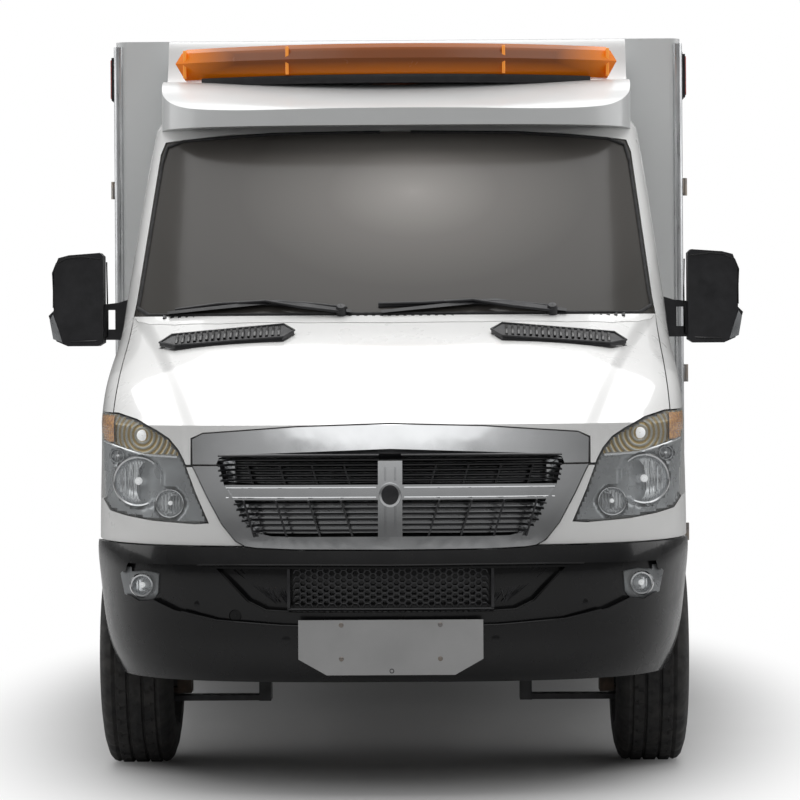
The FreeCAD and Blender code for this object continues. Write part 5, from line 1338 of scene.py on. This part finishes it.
# ---------------------------------------------------------------- padded seats
def padded(name, low, high, body, look, slot, channels=(), swell=0.016, grid=0.016):
    """A stuffed block: rounded, remeshed, inflated by a short cloth run, then sewn with channels."""
    form = Form().block([a + swell * 0.5 for a in low], [b - swell * 0.5 for b in high], 0.034)
    pad = form.piece(name, look, body, slot, 180)
    remesh = pad.modifiers.new("remesh", "REMESH")
    remesh.mode, remesh.voxel_size, remesh.use_smooth_shade = "VOXEL", grid, True
    bake(pad)
    rest = coordinates(pad)
    cloth = pad.modifiers.new("cloth", "CLOTH")
    cloth.settings.quality = 4
    cloth.settings.use_pressure = True
    cloth.settings.uniform_pressure_force = 4
    cloth.settings.effector_weights.gravity = 0
    scene = bpy.context.scene
    for number in range(1, 21):
        scene.frame_set(number)
    swollen = pad.evaluated_get(bpy.context.evaluated_depsgraph_get()).data
    moved = np.array([v.co for v in swollen.vertices]) - rest
    pad.modifiers.remove(cloth)
    scene.frame_set(1)
    length = np.linalg.norm(moved, axis=1, keepdims=True)
    rest = rest + moved * np.minimum(1.0, swell / np.maximum(length, 1e-9))
    for axis, place in channels:
        near = np.exp(-((rest[:, axis] - place) / 0.009) ** 2)[:, None]
        middle = rest.mean(axis=0)
        inward = middle - rest
        inward[:, axis] = 0
        inward /= np.maximum(np.linalg.norm(inward, axis=1, keepdims=True), 1e-9)
        rest = rest + inward * near * 0.008
    pad.data.vertices.foreach_set("co", rest.astype(np.float32).ravel())
    pad.data.update()
    pad.modifiers.new("smooth", "SUBSURF").levels = 1
    pad.modifiers["smooth"].render_levels = 1
    pad.data.shade_smooth()
    return pad


def coordinates(thing):
    """A mesh's vertex places as an array."""
    spots = np.zeros(len(thing.data.vertices) * 3, np.float32)
    thing.data.vertices.foreach_get("co", spots)
    return spots.reshape(-1, 3).astype(float)


def bake(thing):
    """Turns a piece's modifiers into its mesh."""
    solid = bpy.data.meshes.new_from_object(thing.evaluated_get(bpy.context.evaluated_depsgraph_get()))
    look = thing.data.materials[0]
    thing.modifiers.clear()
    thing.data = solid
    thing.data.materials.clear()
    thing.data.materials.append(look)


def copy_of(pad, name, shift, body):
    """The same pad again, moved over."""
    twin = pad.copy()
    twin.data = pad.data.copy()
    twin.name = name
    bpy.context.scene.collection.objects.link(twin)
    twin.data.transform(Matrix.Translation(shift))
    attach(twin, body)
    return twin


def cab_seats():
    """Two driving seats: pedestals, bolstered cushions, backs and headrests."""
    low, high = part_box("cab_seats")
    y = low.y
    centre = 0.42
    lift = 0.003
    cushion = padded("seat_cushion_left", (centre - 0.25, y, 1.080 + lift), (centre + 0.25, y + 0.46, 1.21),
                     "van", "seat_cloth", "seat",
                     ((0, centre - 0.15), (0, centre + 0.15), (1, y + 0.30)))
    back = padded("seat_back_left", (centre - 0.24, high.y - 0.13, 1.19), (centre + 0.24, high.y, 1.77),
                  "van", "seat_cloth", "seat",
                  ((0, centre - 0.14), (0, centre + 0.14), (2, 1.45)))
    rest = padded("seat_headrest_left", (centre - 0.13, high.y - 0.11, 1.80),
                  (centre + 0.13, high.y - 0.01, 1.96), "van", "seat_cloth", "seat", (), 0.010, 0.012)
    for pad, label in ((cushion, "cushion"), (back, "back"), (rest, "headrest")):
        copy_of(pad, f"seat_{label}_right", (-2 * centre, 0, 0), "van")
    stand = Form()
    for x in (centre, -centre):
        stand.block((x - 0.20, y + 0.05, low.z), (x + 0.20, y + 0.45, 1.078), 0.02)
        stand.block((x - 0.22, y + 0.03, 1.055), (x + 0.22, y + 0.47, 1.082), 0.008)
        for dx in (-0.06, 0.06):
            stand.tube([(x + dx, high.y - 0.055, z) for z in (1.74, 1.82)], 0.007, 12)
    stand = stand.piece("seat_stands", "grey_plastic", "van", "grey_plastic")
    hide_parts("cab_seats")


def bench():
    """The bench's box with three seat pads and three back pads."""
    low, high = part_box("bench_seat")
    top, pads = high.z - 0.28, 3
    span = (high.y - low.y) / pads
    base = Form()
    base.block(low, (high.x, high.y, top - 0.078), 0.006)
    base.block((high.x - 0.01, low.y + 0.01, low.z + 0.01), (high.x - 0.001, high.y - 0.01, top - 0.09),
               0.002)
    box = base.piece("bench_base", "cabinet", "van", "cabinet")
    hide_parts("bench_seat")
    seat = padded("bench_pad_1", (low.x + 0.075, low.y + 0.004, top - 0.074),
                  (high.x, low.y + span - 0.004, top + 0.006), "van", "vinyl", "vinyl",
                  ((1, low.y + span / 2),))
    back = padded("bench_back_1", (low.x, low.y + 0.004, top + 0.012),
                  (low.x + 0.07, low.y + span - 0.004, high.z), "van", "vinyl", "vinyl",
                  ((1, low.y + span / 2),), 0.010)
    for k in range(1, pads):
        copy_of(seat, f"bench_pad_{k + 1}", (0, span * k, 0), "van")
        copy_of(back, f"bench_back_{k + 1}", (0, span * k, 0), "van")


# ---------------------------------------------------------------- inside
def cab_inside():
    """Cluster hood, vents, screen and gear lever on the dashboard, and the steering wheel's pad."""
    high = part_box("dashboard")[1]
    dash = Form()
    dash.block((0.22, high.y - 0.26, 1.372), (0.62, high.y - 0.06, 1.425), 0.02)
    for x in (-0.74, -0.28, 0.10, 0.74):
        dash.block((x - 0.055, at(1.556), 1.30), (x + 0.055, at(1.566), 1.35), 0.003)
    dash.block((-0.12, at(1.556), 1.245), (0.12, at(1.568), 1.345), 0.004)
    dash.tube([(0.0, at(1.52), 1.05), (0.0, at(1.585), 1.14), (0.0, at(1.60), 1.20)], 0.010, 12)
    dash.turned([(0.001, 0.030), (0.020, 0.024), (0.024, 0.0), (0.012, -0.02)], (0.0, at(1.602), 1.20),
                (0, 0.2, 1), 20)
    dash.piece("dash_details", "grey_plastic", "van", "grey_plastic")
    wheel_low, wheel_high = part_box("steering_wheel")
    middle = (wheel_low + wheel_high) / 2
    hub = Form().block(middle - Vector((0.085, 0.045, 0.020)), middle + Vector((0.085, 0.045, 0.020)),
                       0.018, Matrix.Rotation(math.radians(62), 4, "X"))
    hub.piece("steering_hub_pad", "black_plastic", "van", "black_plastic", 60)


def patient_bay():
    """Cabinet fronts and pulls, ceiling rails and lights, and the cot's floor rail."""
    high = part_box("cabinets")[1]
    fronts, pulls = Form(), Form()
    y0, y1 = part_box("locker_door")[1].y + 0.06, high.y - 0.02
    count = 5
    width = (y1 - y0) / count
    for k in range(count):
        a, b = y0 + k * width + 0.006, y0 + (k + 1) * width - 0.006
        for x, z0, z1 in ((0.680, 0.90, 1.405), (0.780, 2.165, 2.505)):
            fronts.block((x - 0.010, a, z0), (x + 0.001, b, z1), 0.004)
            z = z1 - 0.05 if z0 < 1 else z0 + 0.05
            pulls.tube([(x - 0.011, a + 0.10, z), (x - 0.030, a + 0.11, z), (x - 0.030, b - 0.11, z),
                        (x - 0.011, b - 0.10, z)], 0.005, 8)
    fronts.piece("cabinet_fronts", "cabinet", "van", "cabinet")
    pulls.piece("cabinet_pulls", "steel", "van", "steel")
    rails = Form()
    for x in (-0.35, 0.35):
        rails.tube([(x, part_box("box_front_wall")[1].y + 0.3, ROOF - 0.075), (x, REAR - 0.4, ROOF - 0.075)],
                   0.014, 14)
        for y in steps(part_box("box_front_wall")[1].y + 0.4, REAR - 0.5, 4):
            rails.tube([(x, y, ROOF - 0.075), (x, y, ROOF - 0.048)], 0.009, 10)
    rails.tube([(0.0, at(3.9), 0.802), (0.0, at(5.55), 0.802)], 0.008, 10)
    rails.piece("bay_rails", "steel", "van", "steel")
    lights = Form()
    for y in steps(at(3.1), at(5.5), 3):
        lights.block((-0.12, y - 0.22, ROOF - 0.062), (0.12, y + 0.22, ROOF - 0.048), 0.005)
    lights.piece("bay_lights", "bulb", "van", "lamp")


# ---------------------------------------------------------------- carried-over CAD pieces
CAD_LOOKS = {
    "white_paint": "white_paint", "chassis_black": "chassis_paint", "black_plastic": "black_plastic",
    "gloss_black": "gloss_black",
    "chrome": "chrome", "silver": "silver", "tyre": "tyre", "wheel_silver": "wheel_silver",
    "glass": "glass", "screen": "windscreen",
    "lamp": "lamp_lens", "amber": "amber_bar", "red_lamp": "black_plastic", "grey_plastic": "grey_plastic",
    "seat": "seat_cloth",
    "vinyl": "vinyl", "cabinet": "cabinet", "steel": "steel", "iron": "iron", "tread_plate": "tread_plate",
    "floor": "bay_floor",
}
# Panels given the darker copy of the white paint: painted shade on the box and on the roof cap.
PAINTED_SHADE_PANELS = ("box_side_left", "box_side_right", "box_front_wall", "box_rear_wall", "box_roof", "side_door",
              "locker_door", "rear_door_left", "rear_door_right", "roof_cap")


def dress_cad():
    """Gives each CAD node the look of its slot."""
    slots = {s["node"]: s["material_slot"] for s in frame["record"]["subparts"]}
    for name, thing in NODES.items():
        look = CAD_LOOKS[slots[name]]
        if name in PAINTED_SHADE_PANELS:
            look = "box_grey_and_painted_shade"
        if name == "hood":
            look = "hood_paint"
        thing.data.materials.clear()
        thing.data.materials.append(MATERIALS[look])


# ---------------------------------------------------------------- stage
def stage():
    """The floor, the world, five soft lights and the camera."""
    ground = Form()
    spots = [(FLOOR_SPAN * (i / 8 - 0.5), FLOOR_SPAN * (k / 8 - 0.5),
              0.0) for k in range(9) for i in range(9)]
    ground.faces(spots, [(r * 9 + c, r * 9 + c + 1, (r + 1) * 9 + c + 1,
                          (r + 1) * 9 + c) for r in range(8) for c in range(8)])
    floor = bpy.data.meshes.new("studio_floor")
    ground.mesh.to_mesh(floor)
    ground.mesh.free()
    floor_piece = bpy.data.objects.new("studio_floor", floor)
    floor_piece.data.materials.append(MATERIALS["studio_floor"])
    bpy.context.scene.collection.objects.link(floor_piece)

    world = bpy.data.worlds.new("studio")
    world.use_nodes = True
    tree = world.node_tree
    sky = tree.nodes["Background"]
    place = tree.nodes.new("ShaderNodeTexCoord")
    split = tree.nodes.new("ShaderNodeSeparateXYZ")
    tree.links.new(place.outputs["Generated"], split.inputs["Vector"])
    ramp = tree.nodes.new("ShaderNodeValToRGB")
    stops = ramp.color_ramp.elements
    stops[0].position, stops[0].color = 0.0, (0.16, 0.16, 0.16, 1)
    stops[1].position, stops[1].color = 1.0, (1.0, 1.0, 1.0, 1)
    low = stops.new(0.12)
    low.color = (0.18, 0.18, 0.18, 1)
    rise = stops.new(0.55)
    rise.color = (0.62, 0.62, 0.62, 1)
    tree.links.new(split.outputs["Z"], ramp.inputs["Fac"])
    tree.links.new(ramp.outputs["Color"], sky.inputs["Color"])
    sky.inputs["Strength"].default_value = 0.85
    plain = tree.nodes.new("ShaderNodeBackground")
    plain.inputs["Color"].default_value = (1, 1, 1, 1)
    plain.inputs["Strength"].default_value = 1.0
    ray = tree.nodes.new("ShaderNodeLightPath")
    mix = tree.nodes.new("ShaderNodeMixShader")
    tree.links.new(ray.outputs["Is Camera Ray"], mix.inputs["Fac"])
    tree.links.new(sky.outputs["Background"], mix.inputs[1])
    tree.links.new(plain.outputs["Background"], mix.inputs[2])
    tree.links.new(mix.outputs["Shader"], tree.nodes["World Output"].inputs["Surface"])
    bpy.context.scene.world = world
    bpy.context.scene.view_settings.view_transform = "Standard"

    for name, spot, aim, size, power in (
        ("overhead", (0, 0.5, 8.0), (0, 0, 0), (9, 9), 490),
        ("front_high", (0, -8.5, 6.5), (0, -1.5, 1.2), (8, 3), 60),
        ("left_wall", (8.0, 0.0, 3.2), (0, 0, 1.2), (8, 3), 130),
        ("right_wall", (-8.0, 0.0, 3.2), (0, 0, 1.2), (8, 3), 130),
        ("behind", (0, 9.0, 4.5), (0, 2, 1.2), (8, 3), 160),
    ):
        data = bpy.data.lights.new(name, "AREA")
        data.shape, data.size, data.size_y, data.energy = "RECTANGLE", size[0], size[1], power
        lamp = bpy.data.objects.new(name, data)
        lamp.location = spot
        lamp.rotation_euler = (Vector(aim) - Vector(spot)).to_track_quat("-Z", "Y").to_euler()
        bpy.context.scene.collection.objects.link(lamp)

    data = bpy.data.cameras.new("camera")
    data.sensor_width, data.lens = 36.0, CAMERA_LENS
    data.shift_y = FRAMING_SHIFT
    data.clip_end = 200
    camera = bpy.data.objects.new("camera", data)
    yaw = Matrix.Rotation(math.radians(CAMERA_YAW), 4, "Z")
    roll = Matrix.Rotation(math.radians(CAMERA_ROLL), 4, "Y")
    camera.matrix_world = Matrix.Translation(CAMERA_SPOT) @ yaw @ roll @ Matrix.Rotation(math.radians(90),
            4, "X")
    bpy.context.scene.collection.objects.link(camera)
    bpy.context.scene.camera = camera


def make_looks():
    """Every material, by name in MATERIALS."""
    make_paints()
    make_plastics()
    make_metals()
    make_lenses()
    make_screen()
    make_soft()
    make_floor_look()
    make_chamber()
    crease_paint()
    # The dividers' emission is a painted glow: they are partitions inside the bar, not lamps.
    painted_glow = Look("bar_divider", (0.80, 0.30, 0.04), 0.4, Emission_Color=(1.0, 0.30, 0.04, 1),
                Emission_Strength=0.25)
    painted_glow.mottle(painted_glow.noise(30), 0.1).bump(painted_glow.noise(60), 0.1, 0.0005)


make_looks()
dress_cad()
grille_dressing()
hood_vents()
headlamps()
fog_lamps()
bumper_dressing()
screen_trim()
wipers()
cowl()
door_trim()
mirrors()
lightbar()
roof_details()
box_trim()
box_doors()
box_lamps()
wheels()
cab_seats()
bench()
cab_inside()
patient_bay()
stage()
